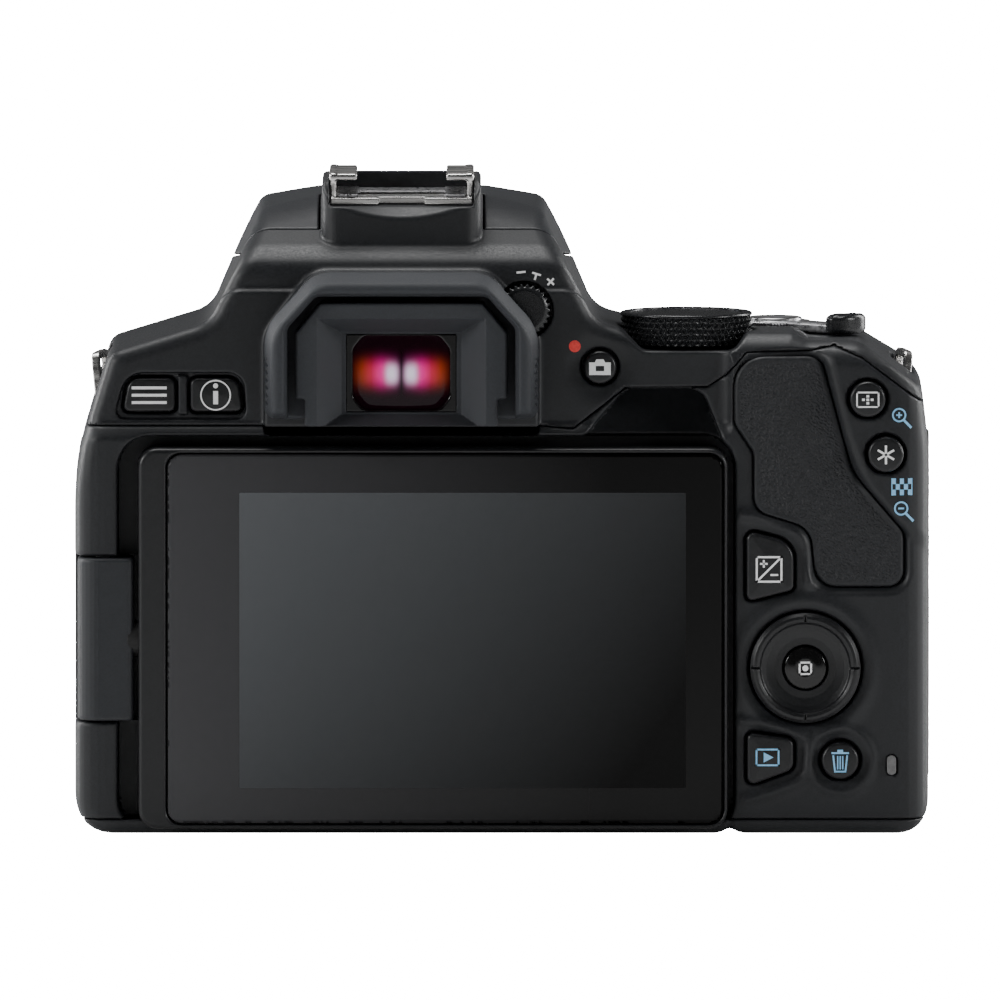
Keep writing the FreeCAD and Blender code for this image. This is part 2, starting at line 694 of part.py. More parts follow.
def slope_button(x, y, radius, proud, depth, dish):
    """A button that travels square to the sloping top of the grip."""
    foot = V(x, y, slope_z(y)) - SLOPE_NORMAL * depth
    body = rod(radius, foot, depth + proud, SLOPE_NORMAL)
    top = V(x, y, slope_z(y)) + SLOPE_NORMAL * proud
    rim = [e for e in body.Edges if (e.CenterOfMass - top).Length < 0.1]
    body = body.makeFillet(min(0.5, radius / 4), rim)
    if dish:
        body = body.cut(Part.makeSphere(dish, top + SLOPE_NORMAL * (dish - 0.45)))
    button = fuse(body, rod(radius + 0.9, foot - SLOPE_NORMAL * 0.8, 0.8, SLOPE_NORMAL))
    wheel_room = rod(MAIN_DIAL_R + 0.4, (MAIN_DIAL[0] - 8, *MAIN_DIAL[1:]), 16, "x")
    pressed_room = wheel_room.copy()
    pressed_room.translate(SLOPE_NORMAL * SHUTTER_TRAVEL)
    return cut(button, wheel_room, pressed_room)


def lens_release():
    head = prism(RELEASE, "y", 19.0, FRONT_Y + 1.6)
    return soften(head, 0.9, lambda e: at_y(e, FRONT_Y + 1.6))


def lens_lock_pin():
    return soften(rod(1.3, (-29.9, 33.0, LENS_Z - 2.0), 7.9, "y"), 0.4, lambda e: at_y(e, 40.9))


def dioptre_dial():
    x, z = DIOPTRE
    wheel = rod(DIOPTRE_R, (x, -19.4, z), 2.9, "y")
    count = 36
    grooves = []
    for i in range(count):
        turn = 2 * math.pi * i / count
        foot = (x + DIOPTRE_R * math.cos(turn), -25, z + DIOPTRE_R * math.sin(turn))
        grooves.append(rod(0.22, foot, 20, "y"))
    return fuse(cut(wheel, Part.makeCompound(grooves)), rod(1.2, (x, -16.6, z), 4.5, "y"))


# ---------------------------------------------------------------- screen
def hinge_block():
    """The block that swings out about the upright axis and carries the panel's cross pivot."""
    (x0, x1), (y0, y1) = HINGE_X, HINGE_Y
    block = prism([(x0, y0, 3.6), (x1, y0, 0.8), (x1, y1, 1.6), (x0, y1, 1.6)], "z", *HINGE_Z)
    pivot = rod(2.6, (x1 - 1.0, TILT_Y, TILT_Z), 4.6, "x")
    bores = pins_space(0.0)
    return fuse(block, pivot).cut(bores[0]).cut(bores[1])


def swing_pins():
    return Part.makeCompound(pins_space(0.0))


def panel_frame():
    """The outer shell of the screen panel, open towards the photographer for the window."""
    x0, x1, z0, z1 = PANEL
    shell = prism(corners(x0, x1, z0, z1, 3.6), "y", PANEL_REAR_Y, PANEL_FRONT_Y)
    shell = soften(shell, 0.8, lambda e: at_y(e, PANEL_REAR_Y))
    shell = soften(shell, 0.5, lambda e: at_y(e, PANEL_FRONT_Y))
    hollow = prism(WINDOW, "y", PANEL_REAR_Y - 1, PANEL_FRONT_Y - 1.0, FIT)
    bore = rod(2.6 + RUNNING, (x0 - 1, TILT_Y, TILT_Z), 4.2, "x")
    return cut(shell, hollow, bore)


WINDOW = [(-33.5, 1.7, 2.0), (46.0, 1.7, 2.0), (46.0, 54.7, 2.0), (-33.5, 54.7, 2.0)]
DISPLAY = (-23.2, 40.7, 6.8, 49.2)


def panel_glass():
    glass = prism(WINDOW, "y", PANEL_REAR_Y + 0.15, PANEL_REAR_Y + 1.15)
    return soften(glass, 0.2, lambda e: at_y(e, PANEL_REAR_Y + 0.15))


def display_module():
    x0, x1, z0, z1 = DISPLAY
    return box((x0 - 3, x1 + 2), (PANEL_REAR_Y + 1.3, PANEL_FRONT_Y - 2.0), (z0 - 2, z1 + 2))


# ---------------------------------------------------------------- viewfinder
def eyecup():
    """Rubber eyecup: a hood round three sides and a bevelled plate round the window."""
    outer = [(-19.6, 59.2, 1.5), (19.6, 59.2, 1.5), (19.6, 72.5, 6.5), (12.5, 81.2, 5.0)]
    outer += [(-12.5, 81.2, 5.0), (-19.6, 72.5, 6.5)]
    inner = [(-16.0, 55.0, 0.5), (16.0, 55.0, 0.5), (16.0, 73.8, 1.2), (12.4, 78.3, 1.2)]
    inner += [(-12.4, 78.3, 1.2), (-16.0, 73.8, 1.2)]
    hood = prism(outer, "y", *EYECUP_Y).cut(prism(inner, "y", EYECUP_Y[0] - 1, -23.6))
    half = [(13.9, 58.7, 0.4), (13.9, 63.6, 0.2), (15.0, 63.6, 0.2), (15.0, 73.2, 0.8), (12.0, 77.4, 0.8)]
    plate_outline = half + [(-x, z, r) for x, z, r in reversed(half)]
    plate = prism(plate_outline, "y", -27.4, -23.0)
    bevel = Part.makeLoft([window_wire(11.8, 7.6, -27.5), window_wire(8.6, 5.7, -24.6)], True)
    hole = prism(corners(-8.6, 8.6, EYE_Z - 5.7, EYE_Z + 5.7, 0.4),
                 "y", -31, -20)
    return cut(fuse(hood, plate), bevel, hole)


def window_wire(half_x, half_z, y):
    spots = [(-half_x, -half_z), (half_x, -half_z), (half_x, half_z), (-half_x, half_z)]
    return Part.makePolygon([V(x, y, EYE_Z + z) for x, z in spots + spots[:1]])


def eyepiece_lens():
    """The rear lens: a thick disc cut to a window shape, with a domed outer face."""
    cutter = prism(corners(-6.9, 6.9, EYE_Z - 5.3, EYE_Z + 5.3, 2.6), "y", -23.0, -17.0)
    dome = Part.makeSphere(30.0, V(0, 8.4, EYE_Z))
    return cutter.common(dome)


def eyepiece_sleeve():
    """Tube of the top cover that runs forward round the rear lens."""
    return prism(corners(-8.1, 8.1, 59.5, 73.7, 1.0), "y", -21.6, -10.0)


def pentamirror():
    """Roof-shaped mirror housing above the focusing screen."""
    side = [(3.0, 53.2, 0.5), (25.2, 53.2, 0.5), (26.0, 58.0, 1.0), (17.0, 77.0, 1.0), (10.0, 77.0, 1.0),
            (-2.0, 70.0, 1.0)]
    body = prism(side, "x", -14.5, 14.5)
    half = [(14.5, 53.0, 0.3), (14.5, 68.0, 1.0), (3.0, 77.5, 1.0)]
    roof = prism(half + [(-x, z, r) for x, z, r in reversed(half)], "y", -10, 40)
    return body.common(roof)


# ---------------------------------------------------------------- accessory shoe and flash
def accessory_shoe():
    """Bent metal shoe: a floor, two sides and two lips that overhang the slot."""
    y = (-11.2, 8.4)
    floor = box((-10.2, 10.2), y, (89.7, 90.9))
    sides = [box(sorted((s * 9.35, s * 10.2)), y, (89.7, 94.2)) for s in (-1, 1)]
    lips = [box(sorted((s * 6.35, s * 10.2)), y, (93.1, 94.2)) for s in (-1, 1)]
    shoe = fuse(floor, *sides, *lips)
    shoe = soften(shoe, 0.6, lambda e: e.Length > 19 and abs(abs(e.CenterOfMass.x) - 10.2) < 0.05)
    middle = box((-3.4, 3.4), (-20, -8.8), (89, 92))
    return cut(shoe, middle, *[rod(1.1, (x, z, 89), 4, "z") for x, z in ((-5.5, 2.0), (5.5, 2.0))])


def shoe_spring():
    """Thin spring leaf that lies on the floor of the shoe under both lips."""
    y = (-10.6, 6.5)
    arms = [box(sorted((s * 6.6, s * 9.1)), y, (90.95, 91.2)) for s in (-1, 1)]
    return fuse(box((-9.1, 9.1), (-3.0, 4.5), (90.95, 91.2)), *arms)


def flash_cover():
    """The folding flash housing: a hollow head and two arms."""
    shell = outer().common(flash_space(0.0))
    lamp_room = box((-15.5, 15.5), (14.0, 35.0), (79, 87.4))
    window = prism(corners(-16.2, 16.2, 17.2, 35.0, 1.5), "z", 80.0, 82.4)
    return one_solid(cut(shell, lamp_room, window, *flash_pivots(RUNNING, 16.0)))


def flash_pivots(grow=0.0, reach=15.0):
    """Stub pins that stand out of the shoe block into the arms of the flash."""
    return [rod(1.25 + grow, (min(s * 9.0, s * reach), *FLASH_AXIS), reach - 9.0, "x") for s in (-1, 1)]


def flash_window():
    return prism(corners(-16.0, 16.0, 17.4, 34.8, 1.4), "z", 81.05, 82.4)


# ---------------------------------------------------------------- lens mount and mirror box
def lens_mount_ring():
    """Bayonet ring: flat flange, three inner lugs and five screw holes."""
    y0 = FLANGE_Y - RING_T
    ring = rod(RING_R, (0, y0, LENS_Z), RING_T, "y").cut(rod(THROAT_R, (0, y0 - 1, LENS_Z), 9, "y"))
    lugs = []
    for middle in (90, 210, 330):
        segment = rod(THROAT_R + 0.5, (0, FLANGE_Y - 1.6, LENS_Z), 1.6, "y").cut(
            rod(LUG_R, (0, y0 - 1, LENS_Z), 9, "y"))
        lugs.append(segment.common(wedge(middle, 30, y0 - 1, 9)))
    ring = fuse(ring, *lugs)
    ring = soften(ring, 0.4, lambda e: at_y(e, FLANGE_Y) and abs(e.BoundBox.XLength - 2 * RING_R) < 0.1)
    holes = [rod(1.35, at_angle(29.9, a, y0 - 1), 9, "y") for a in RING_SCREWS]
    spots = [V(*at_angle(29.9, a, FLANGE_Y - 1.0)) for a in RING_SCREWS]
    sinks = [Part.makeCone(1.35, 2.25, 1.0, spot, V(0, 1, 0)) for spot in spots]
    pin = rod(1.3 + MOVE, (-29.9, y0 - 1, LENS_Z - 2.0), 9, "y")
    return cut(ring, *holes, *sinks, pin)


RING_SCREWS = (25, 90, 155, 225, 315)


def at_angle(radius, degrees, y):
    """A point on a circle round the lens axis."""
    turn = math.radians(degrees)
    return (radius * math.cos(turn), y, LENS_Z + radius * math.sin(turn))


def wedge(middle, half, y, length):
    """A sector of a disc round the lens axis."""
    points = [V(0, y, LENS_Z)]
    for step in range(-2, 3):
        points.append(V(*at_angle(60, middle + half * step / 2, y)))
    return Part.Face(Part.makePolygon(points + [points[0]])).extrude(V(0, length, 0))


def mount_screws():
    screws = []
    for a in RING_SCREWS:
        head = Part.makeCone(1.25, 2.1, 0.95, V(*at_angle(29.9, a, FLANGE_Y - 1.0)), V(0, 1, 0))
        x, _, z = at_angle(29.9, a, 0)
        slot = fuse(box((x - 1.1, x + 1.1), (FLANGE_Y - 0.5, 50), (z - 0.22, z + 0.22)),
                    box((x - 0.22, x + 0.22), (FLANGE_Y - 0.5, 50), (z - 1.1, z + 1.1)))
        screws.append(fuse(head, rod(1.25, at_angle(29.9, a, 33.2), 5.85, "y")).cut(slot))
    return Part.makeCompound(screws)


BOX_X = 20.5
BOX_Z = (18.0, 50.8)
BOX_Y = (2.0, 33.0)


def mirror_box():
    """Light-tight box between the mount and the shutter, with the seat of the mount ring."""
    shell = box((-BOX_X, BOX_X), BOX_Y, BOX_Z)
    seat = rod(32.0, (0, 33.0, LENS_Z), 4.0, "y")
    trim = box((-BOX_X - 20, BOX_X + 20), (30, 40), (BASE + 0.5, 70))
    hollow = box((-17.0, 17.0), (BOX_Y[0] - 1, 33.1), (BOX_Z[0] + 2.0, BOX_Z[1] - 1.4))
    top = box((-12.6, 12.6), (7.4, 26.6), (45, 60))
    throat = rod(THROAT_R, (0, 33.0, LENS_Z), 10, "y").cut(contact_block_form(0.0))
    shell = fuse(shell, seat.common(trim)).cut(hollow).cut(top).cut(throat)
    screws = [rod(1.25, at_angle(29.9, a, 32.9), 6, "y") for a in RING_SCREWS]
    pin = rod(1.3 + MOVE, (-29.9, 30.0, LENS_Z - 2.0), 12, "y")
    hinge = rod(1.0 + RUNNING, (-19.0, *MIRROR_AXIS), 38.0, "x")
    return one_solid(cut(shell, *screws, pin, hinge, contact_block_form(0.05)))


def contact_block_form(grow):
    ring = rod(26.8 + grow, (0, 33.4 - grow, LENS_Z), 3.4 + 2 * grow, "y")
    ring = ring.cut(rod(23.2 - grow, (0, 30, LENS_Z), 12, "y"))
    return ring.common(wedge(270, 24 + grow, 30, 12))


def contact_block():
    """Insulating block with eight gold pins for the lens."""
    return contact_block_form(0.0).cut(Part.makeCompound([contact_pin(i, 0.0) for i in range(8)]))


def contact_pin(i, grow):
    return rod(0.7 + grow, at_angle(25.0, 270 + (i - 3.5) * 5.4, 34.4), 3.1, "y")


MIRROR_AXIS = (5.2, 48.0)
MIRROR_TILT = 45


def turned(shape, degrees):
    """A shape drawn flat under the focusing screen, turned down about the mirror's hinge."""
    shape = shape.copy()
    shape.rotate(V(0, *MIRROR_AXIS), V(1, 0, 0), -degrees)
    return shape


def main_mirror():
    y, z = MIRROR_AXIS
    carrier = box((-14.6, 14.6), (y + 1.6, y + 25.0), (z - 0.9, z + 0.1))
    window = box((-5.0, 5.0), (y + 9.0, y + 17.0), (z - 2, z + 0.15))
    arms = [box(sorted((s * 12.5, s * 14.6)), (y, y + 3.0), (z - 0.9, z + 0.1)) for s in (-1, 1)]
    barrel = rod(1.0, (-18.9, y, z), 37.8, "x")
    return turned(fuse(carrier, barrel, *arms).cut(window), MIRROR_TILT)


def mirror_glass():
    y, z = MIRROR_AXIS
    return turned(box((-14.0, 14.0), (y + 2.2, y + 24.6), (z + 0.1, z + 0.9)), MIRROR_TILT)


SUB_AXIS = (MIRROR_AXIS[0] + 7.0, MIRROR_AXIS[1] - 1.9)


def sub_mirror():
    """Small mirror behind the main one that sends light down to the focus sensor."""
    y, z = SUB_AXIS
    plate = box((-5.5, 5.5), (y - 0.4, y + 9.0), (z - 0.5, z + 0.4))
    plate = fuse(plate, rod(0.6, (-6.5, y, z), 13.0, "x"))
    plate.rotate(V(0, y, z), V(1, 0, 0), -SUB_FOLD)
    return turned(plate, MIRROR_TILT)


SUB_FOLD = 84


def shutter_unit():
    """Frame of the shutter with a slot in which two blades drop below the picture."""
    frame = box((-23.0, 23.0), (-2.4, 1.8), (12.6, 50.0))
    aperture = box((-12.4, 12.4), (-5, 5), (LENS_Z - 8.4, LENS_Z + 8.4))
    slot = box((-14.0, 14.0), (-1.4, 0.9), (LENS_Z - 19.4, LENS_Z + 9.6))
    return cut(frame, aperture, slot)


def shutter_blade(y, top):
    return box((-13.6, 13.6), (y, y + 0.4), (top - BLADE_H, top))


BLADE_H = 9.4


# ---------------------------------------------------------------- electronics and frame
def image_sensor():
    package = box((-15.0, 15.0), (-7.2, IMAGE_Y), (LENS_Z - 11.0, LENS_Z + 11.0))
    glass = box((-12.0, 12.0), (IMAGE_Y, -2.8), (LENS_Z - 8.2, LENS_Z + 8.2))
    return fuse(package, glass)


def main_board():
    """Main circuit board with its larger chips."""
    board = box((-36.0, 43.0), (-10.4, -9.4), (6.0, 54.0))
    spots = ((-34, 12, 30, 12), (22, 14, 34, 14), (24, 9, 12, 9))
    chips = [box((x, x + w), (-9.4, -8.3), (z, z + h)) for x, w, z, h in spots]
    chips.append(box((-8.0, 12.0), (-12.4, -10.4), (14.0, 32.0)))
    return fuse(board, *chips)


def chassis():
    """Folded metal frame under and beside the mirror box."""
    floor = box((-31.0, 44.0), (-6.9, 21.5), (BASE + 0.2, BASE + 1.4))
    left = box((-31.0, -30.0), (-6.9, 21.5), (BASE + 1.4, 56.0))
    right = box((43.0, 44.0), (-6.9, 21.5), (BASE + 1.4, 56.0))
    posts = [box((x, x + 3.0), (4.0, 20.0), (BASE + 1.4, BOX_Z[0])) for x in (-20.0, 17.0)]
    screws = [rod(SCREW_R - 0.1 + 0.1, (x, y, 0), 10, "z") for x, y in BASE_SCREWS]
    return cut(fuse(floor, left, right, *posts), rod(6.0, (0, 0, -1), 20, "z"), *screws)


def tripod_socket():
    boss = fuse(rod(6.0, (0, 0, 0), 8.4, "z"), rod(9.0, (0, 0, BASE + 1.4), 1.2, "z"))
    bore = rod(TRIPOD_R, (0, 0, -1), 1 + TRIPOD_DEPTH, "z")
    return boss.cut(bore)


TRIPOD_R = 3.175
TRIPOD_DEPTH = 6.5
BATTERY = ((54.6, 68.4), (1.0, 33.4), (3.4, 51.5))


def battery():
    return soften(box(*BATTERY), 1.0, lambda e: True)


def battery_door():
    door = battery_door_outline()
    door = door.common(box((DOOR_HINGE_X - 0.35, 90), (-40, 60), (0, BASE - 0.1)))
    hinge_edge = box((DOOR_HINGE_X - 1.0, DOOR_HINGE_X + 0.4), (-40, 60), (BASE - 0.6, BASE + 1.0))
    return cut(door, hinge_edge, latch_outline(0.2))


def latch_outline(grow):
    points = corners(63.0, 68.0, 10.0, 19.0, 1.0)
    return prism(points, "z", -0.01, 1.4 + grow, grow)


def door_latch():
    """Sliding latch of the battery door, ribbed for a fingertip."""
    points = corners(63.2, 66.0, 10.2, 18.8, 0.9)
    slide = prism(points, "z", 0.25, 1.35)
    ribs = [box((63.6, 65.6), (y, y + 0.5), (0.2, 0.5)) for y in (11.6, 13.0, 14.4, 15.8, 17.2)]
    return slide.cut(Part.makeCompound(ribs))


LUG_PLATE = [(-4.6, -3.0, 0.5), (4.6, -3.0, 0.5), (3.4, 3.4, 1.6), (-3.4, 3.4, 1.6)]
LUG_HALF = 0.6
LUG_AT = {1: (71.8, 4.0, 64.6), -1: (-43.0, 4.0, 64.4)}


def place_lug(shape, sign):
    shape.rotate(V(0, 0, 0), V(0, 0, 1), sign * 12)
    shape.rotate(V(0, 0, 0), V(0, 1, 0), sign * 8)
    shape.translate(V(*LUG_AT[sign]))
    return shape


def strap_lug(sign):
    """A plate with a slot that stands out of the shoulder."""
    slot = prism(corners(-2.6, 2.6, 0.9, 2.3, 0.6), "x", -2, 2)
    plate = prism(LUG_PLATE, "x", -LUG_HALF, LUG_HALF).cut(slot)
    return place_lug(soften(plate, 0.25, lambda e: abs(abs(e.CenterOfMass.x) - LUG_HALF) < 1e-3), sign)


def lug_slots():
    """Slots in the covers that the lugs pass through."""
    half = LUG_HALF + FIT
    return [place_lug(prism(LUG_PLATE, "x", -half, half, FIT), sign) for sign in (1, -1)]


def strap_lugs():
    return Part.makeCompound([strap_lug(sign) for sign in (1, -1)])


def audio_board():
    """Microphone and remote sockets behind the left cover, on their own small board."""
    y = 5.0
    board = box((-32.8, -31.8), (y - 4.4, y + 4.4), (34.5, 53.5))
    bodies = [box((-43.8, -32.8), (y - 3.6, y + 3.6), (z - 3.6, z + 3.6)) for z, _ in AUDIO_SOCKETS]
    return cut(fuse(board, *bodies), *[rod(r, (-46.0, y, z), 12.0, "x") for z, r in AUDIO_SOCKETS])


AUDIO_SOCKETS = ((48.6, 1.8), (39.4, 1.3))


def digital_board():
    """Video and data sockets behind the right cover, on their own small board."""
    y0, y1 = -12.0, -5.2
    board = box((66.6, 67.6), (y0, y1), (18.5, 34.0))
    spots = ((29.2, 3.0), (22.6, 2.2))
    bodies = [box((67.6, 72.6), (y0 + 0.2, y1 - 0.2), (z - half, z + half)) for z, half in spots]
    mouths = [box((68.6, 75), (y0 + 0.9, y1 - 0.9), (z - half + 0.7, z + half - 0.7))
              for z, half in ((29.2, 3.0), (22.6, 2.2))]
    return cut(fuse(board, *bodies), *mouths)


def left_port_cover():
    cover = left_port_outline(0.0, (LEFT_X - 0.3, LEFT_X + 1.0))
    return soften(cover, 0.3, lambda e: abs(e.BoundBox.XMax - LEFT_X + 0.3) < 1e-4)


def right_port_cover():
    cover = right_port_outline(0.0, (RIGHT_X - 1.0, RIGHT_X + 0.3))
    return soften(cover, 0.3, lambda e: abs(e.BoundBox.XMin - RIGHT_X - 0.3) < 1e-4)


NODES = {
    "rear_cover": rear_cover,
    "front_cover": front_cover,
    "top_cover": top_cover,
    "base_cover": base_cover,
    "case_screws": case_screws,
    "grip_rubber": grip_rubber,
    "thumb_rest": thumb_rest,
    "live_view_button": lambda: round_button(*LIVE_VIEW, UPPER_Y),
    "menu_button": lambda: shaped_button(MENU_BUTTON, UPPER_Y),
    "info_button": lambda: shaped_button(INFO_BUTTON, UPPER_Y),
    "exposure_button": lambda: shaped_button(EXPOSURE_BUTTON, REAR_Y),
    "playback_button": lambda: shaped_button(PLAYBACK_BUTTON, REAR_Y),
    "erase_button": lambda: round_button(*ROUND_BUTTONS["erase_button"], REAR_Y),
    "af_point_button": lambda: round_button(*ROUND_BUTTONS["af_point_button"], REAR_Y),
    "ae_lock_button": lambda: round_button(*ROUND_BUTTONS["ae_lock_button"], REAR_Y),
    "cross_key_ring": cross_key_ring,
    "cross_key_plate": cross_key_plate,
    "set_button": set_button,
    "mode_dial": mode_dial,
    "power_lever": power_lever,
    "main_dial": main_dial,
    "shutter_button": lambda: slope_button(*SHUTTER_AT, 4.6, 1.9, 4.0, 22.0),
    "iso_button": lambda: slope_button(*ISO_AT, 2.1, 0.9, 3.2, 0),
    "lens_release_button": lens_release,
    "lens_lock_pin": lens_lock_pin,
    "dioptre_dial": dioptre_dial,
    "screen_hinge_block": hinge_block,
    "screen_swing_pins": swing_pins,
    "screen_panel_shell": panel_frame,
    "screen_glass": panel_glass,
    "screen_display": display_module,
    "eyecup": eyecup,
    "eyepiece_lens": eyepiece_lens,
    "pentamirror": pentamirror,
    "accessory_shoe": accessory_shoe,
    "shoe_spring": shoe_spring,
    "flash_cover": flash_cover,
    "flash_window": flash_window,
    "lens_mount_ring": lens_mount_ring,
    "mount_screws": mount_screws,
    "mirror_box": mirror_box,
    "contact_block": contact_block,
    "main_mirror": main_mirror,
    "mirror_glass": mirror_glass,
    "sub_mirror": sub_mirror,
    "shutter_unit": shutter_unit,
    "shutter_blade_upper": lambda: shutter_blade(-1.0, LENS_Z + 9.2),
    "shutter_blade_lower": lambda: shutter_blade(-0.3, LENS_Z + 0.5),
    "image_sensor": image_sensor,
    "main_board": main_board,
    "audio_board": audio_board,
    "digital_board": digital_board,
    "chassis": chassis,
    "tripod_socket": tripod_socket,
    "battery": battery,
    "battery_door": battery_door,
    "battery_door_latch": door_latch,
    "left_port_cover": left_port_cover,
    "right_port_cover": right_port_cover,
    "strap_lugs": strap_lugs,
}


def main():
    os.makedirs("parts", exist_ok=True)
    for name, make in NODES.items():
        shape = make()
        print(name, len(shape.Solids), round(shape.Volume, 1), shape.isValid())
        shape.exportStep(f"parts/{name}.step")


main()
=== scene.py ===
"""Looks of a compact digital single-lens reflex camera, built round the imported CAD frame.

Shells and keys are drawn as distance fields in millimetres, in the row frame: +X to the photographer's right,
+Y towards the subject, +Z up. Each field is meshed, and the piece rides the body whose node it stands for.
"""

import math
from concurrent.futures import ThreadPoolExecutor

import bpy
import numpy as np
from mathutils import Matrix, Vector


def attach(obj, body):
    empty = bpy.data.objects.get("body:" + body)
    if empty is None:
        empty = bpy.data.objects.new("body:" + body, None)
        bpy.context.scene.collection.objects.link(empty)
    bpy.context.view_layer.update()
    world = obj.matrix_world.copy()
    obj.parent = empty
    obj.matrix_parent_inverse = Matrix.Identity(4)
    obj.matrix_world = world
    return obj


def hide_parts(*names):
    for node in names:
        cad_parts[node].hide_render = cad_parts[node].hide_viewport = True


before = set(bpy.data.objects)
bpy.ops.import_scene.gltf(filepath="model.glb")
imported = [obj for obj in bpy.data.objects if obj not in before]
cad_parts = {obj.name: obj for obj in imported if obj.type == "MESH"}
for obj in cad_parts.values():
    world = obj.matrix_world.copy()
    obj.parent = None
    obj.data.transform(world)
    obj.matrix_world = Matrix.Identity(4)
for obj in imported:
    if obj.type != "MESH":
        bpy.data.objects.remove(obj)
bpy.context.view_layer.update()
MM = 0.001
COARSE = 1.0

# ------------------------------------------------------------------ driving dimensions, in mm
LENS_Z = 36.0
LEFT_X = -46.4
RIGHT_X = 75.1
REAR_Y = -20.5
UPPER_Y = -18.5
FRONT_Y = 24.0
GRIP_Y = 39.0
DECK_Z = 72.0
LEVER_DECK_Z = 70.7
SPLIT_Y = -3.0
BASE = 2.2
WALL = 2.0
GAP = 0.12

PANEL = (-37.7, 46.7, 0.9, 55.6)
PANEL_Y = (-21.5, -15.5)
RECESS_Y = -15.0
HINGE_X = (LEFT_X, -38.3)
HINGE_Y = (-21.0, -12.4)
HINGE_Z = (16.4, 39.7)
SWING = (sum(HINGE_X) / 2, sum(HINGE_Y) / 2)

EYE_Z = 66.6
MODE_DIAL = (40.8, -8.0)
MODE_DIAL_R = 9.5
MODE_DIAL_Z = (69.8, 74.3)
LEVER_PIVOT = (53.6, 3.0)
LEVER_TIP = (63.7, -6.5)
MAIN_DIAL = (63.0, 18.0, 63.9)
MAIN_DIAL_R = 6.4
SHUTTER_AT = (63.2, 30.5)
ISO_AT = (53.6, 20.5)
FLASH_AXIS = (-6.0, 86.0)
FLASH_EYE_R = 3.6
PEDESTAL_X = 11.4
CROSS = (57.8, 24.0)
CROSS_R = 7.9
LIVE_VIEW = (28.4, 67.0)
AF_POINT = (66.7, 62.6)
AE_LOCK = (69.3, 54.7)
ERASE = (62.8, 10.7)
DIOPTRE = (17.6, 75.2)


# ------------------------------------------------------------------ flat outlines
def arc_points(corner, before, after, radius, steps=7):
    """Points of the arc of one radius that rounds a corner between its two neighbours."""
    corner, before, after = (np.array(p[:2], float) for p in (corner, before, after))
    u = (before - corner) / np.linalg.norm(before - corner)
    w = (after - corner) / np.linalg.norm(after - corner)
    half = math.acos(float(np.clip(u @ w, -1, 1))) / 2
    if radius <= 0 or half > math.pi / 2 - 0.01:
        return [tuple(corner)]
    middle = (u + w) / np.linalg.norm(u + w)
    centre = corner + middle * radius / math.sin(half)
    first = corner + u * radius / math.tan(half) - centre
    last = corner + w * radius / math.tan(half) - centre
    turn = math.atan2(first[0] * last[1] - first[1] * last[0], first @ last)
    angles = [turn * i / steps for i in range(steps + 1)]
    return [
        (centre[0] + first[0] * math.cos(a) - first[1] * math.sin(a),
         centre[1] + first[0] * math.sin(a) + first[1] * math.cos(a))
        for a in angles
    ]


def rounded(points, radius=None):
    """A closed outline with rounded corners, from (u, v, radius) or (u, v) and one radius."""
    full = [(p[0], p[1], p[2] if len(p) > 2 else radius) for p in points]
    outline = []
    for i, point in enumerate(full):
        outline += arc_points(point, full[i - 1], full[(i + 1) % len(full)], point[2])
    return np.array(outline)


def rect(u0, u1, v0, v1, radius):
    return rounded([(u0, v0), (u1, v0), (u1, v1), (u0, v1)], radius)


class Outline:
    """Signed distance to a closed outline, sampled on a fine grid and read back by interpolation."""

    def __init__(self, points, step=0.2, margin=5.0):
        points = np.asarray(points, float)
        self.step = step
        self.low = points.min(0) - margin
        count = np.ceil((points.max(0) + margin - self.low) / step).astype(int) + 2
        u, v = np.meshgrid(*[self.low[i] + step * np.arange(count[i]) for i in (0, 1)], indexing="ij")
        self.values = self.exact(points, u, v)

    @staticmethod
    def exact(points, u, v):
        nearest = np.full(u.shape, 1e9)
        inside = np.zeros(u.shape, bool)
        for (au, av), (bu, bv) in zip(points, np.roll(points, -1, 0)):
            eu, ev = bu - au, bv - av
            t = np.clip(((u - au) * eu + (v - av) * ev) / max(eu * eu + ev * ev, 1e-12), 0, 1)
            nearest = np.minimum(nearest, (u - au - t * eu) ** 2 + (v - av - t * ev) ** 2)
            crosses = (av > v) != (bv > v)
            if crosses.any():
                inside ^= crosses & (u < eu * (v - av) / (ev if ev else 1e-12) + au)
        return np.where(inside, -1, 1) * np.sqrt(nearest)

    def __call__(self, u, v):
        fu = (u - self.low[0]) / self.step
        fv = (v - self.low[1]) / self.step
        cu = np.clip(fu, 0, self.values.shape[0] - 1.001)
        cv = np.clip(fv, 0, self.values.shape[1] - 1.001)
        beyond = np.hypot(fu - cu, fv - cv) * self.step
        i, j = cu.astype(int), cv.astype(int)
        a, b = cu - i, cv - j
        g = self.values
        near = (g[i, j] * (1 - a) * (1 - b) + g[i + 1, j] * a * (1 - b)
                + g[i, j + 1] * (1 - a) * b + g[i + 1, j + 1] * a * b)
        return near + beyond


# ------------------------------------------------------------------ distance-field operations
def join(a, b, k=0.0):
    """Union of two fields, with a fillet of about k."""
    if not k:
        return np.minimum(a, b)
    h = np.maximum(k - np.abs(a - b), 0) / k
    return np.minimum(a, b) - h * h * k / 4


def meet(a, b, k=0.0):
    """Intersection, with a rounded edge of about k."""
    return -join(-a, -b, k)


def carve(a, b, k=0.0):
    return meet(a, -b, k)


def slab(t, low, high):
    return np.maximum(low - t, t - high)


def extrude(flat, t, low, high, edge=0.0):
    """Distance to a prism from the distance to its section, with rounded end edges."""
    across = flat + edge
    along = slab(t, low, high) + edge
    outside = np.hypot(np.maximum(across, 0), np.maximum(along, 0))
    return np.minimum(np.maximum(across, along), 0) + outside - edge


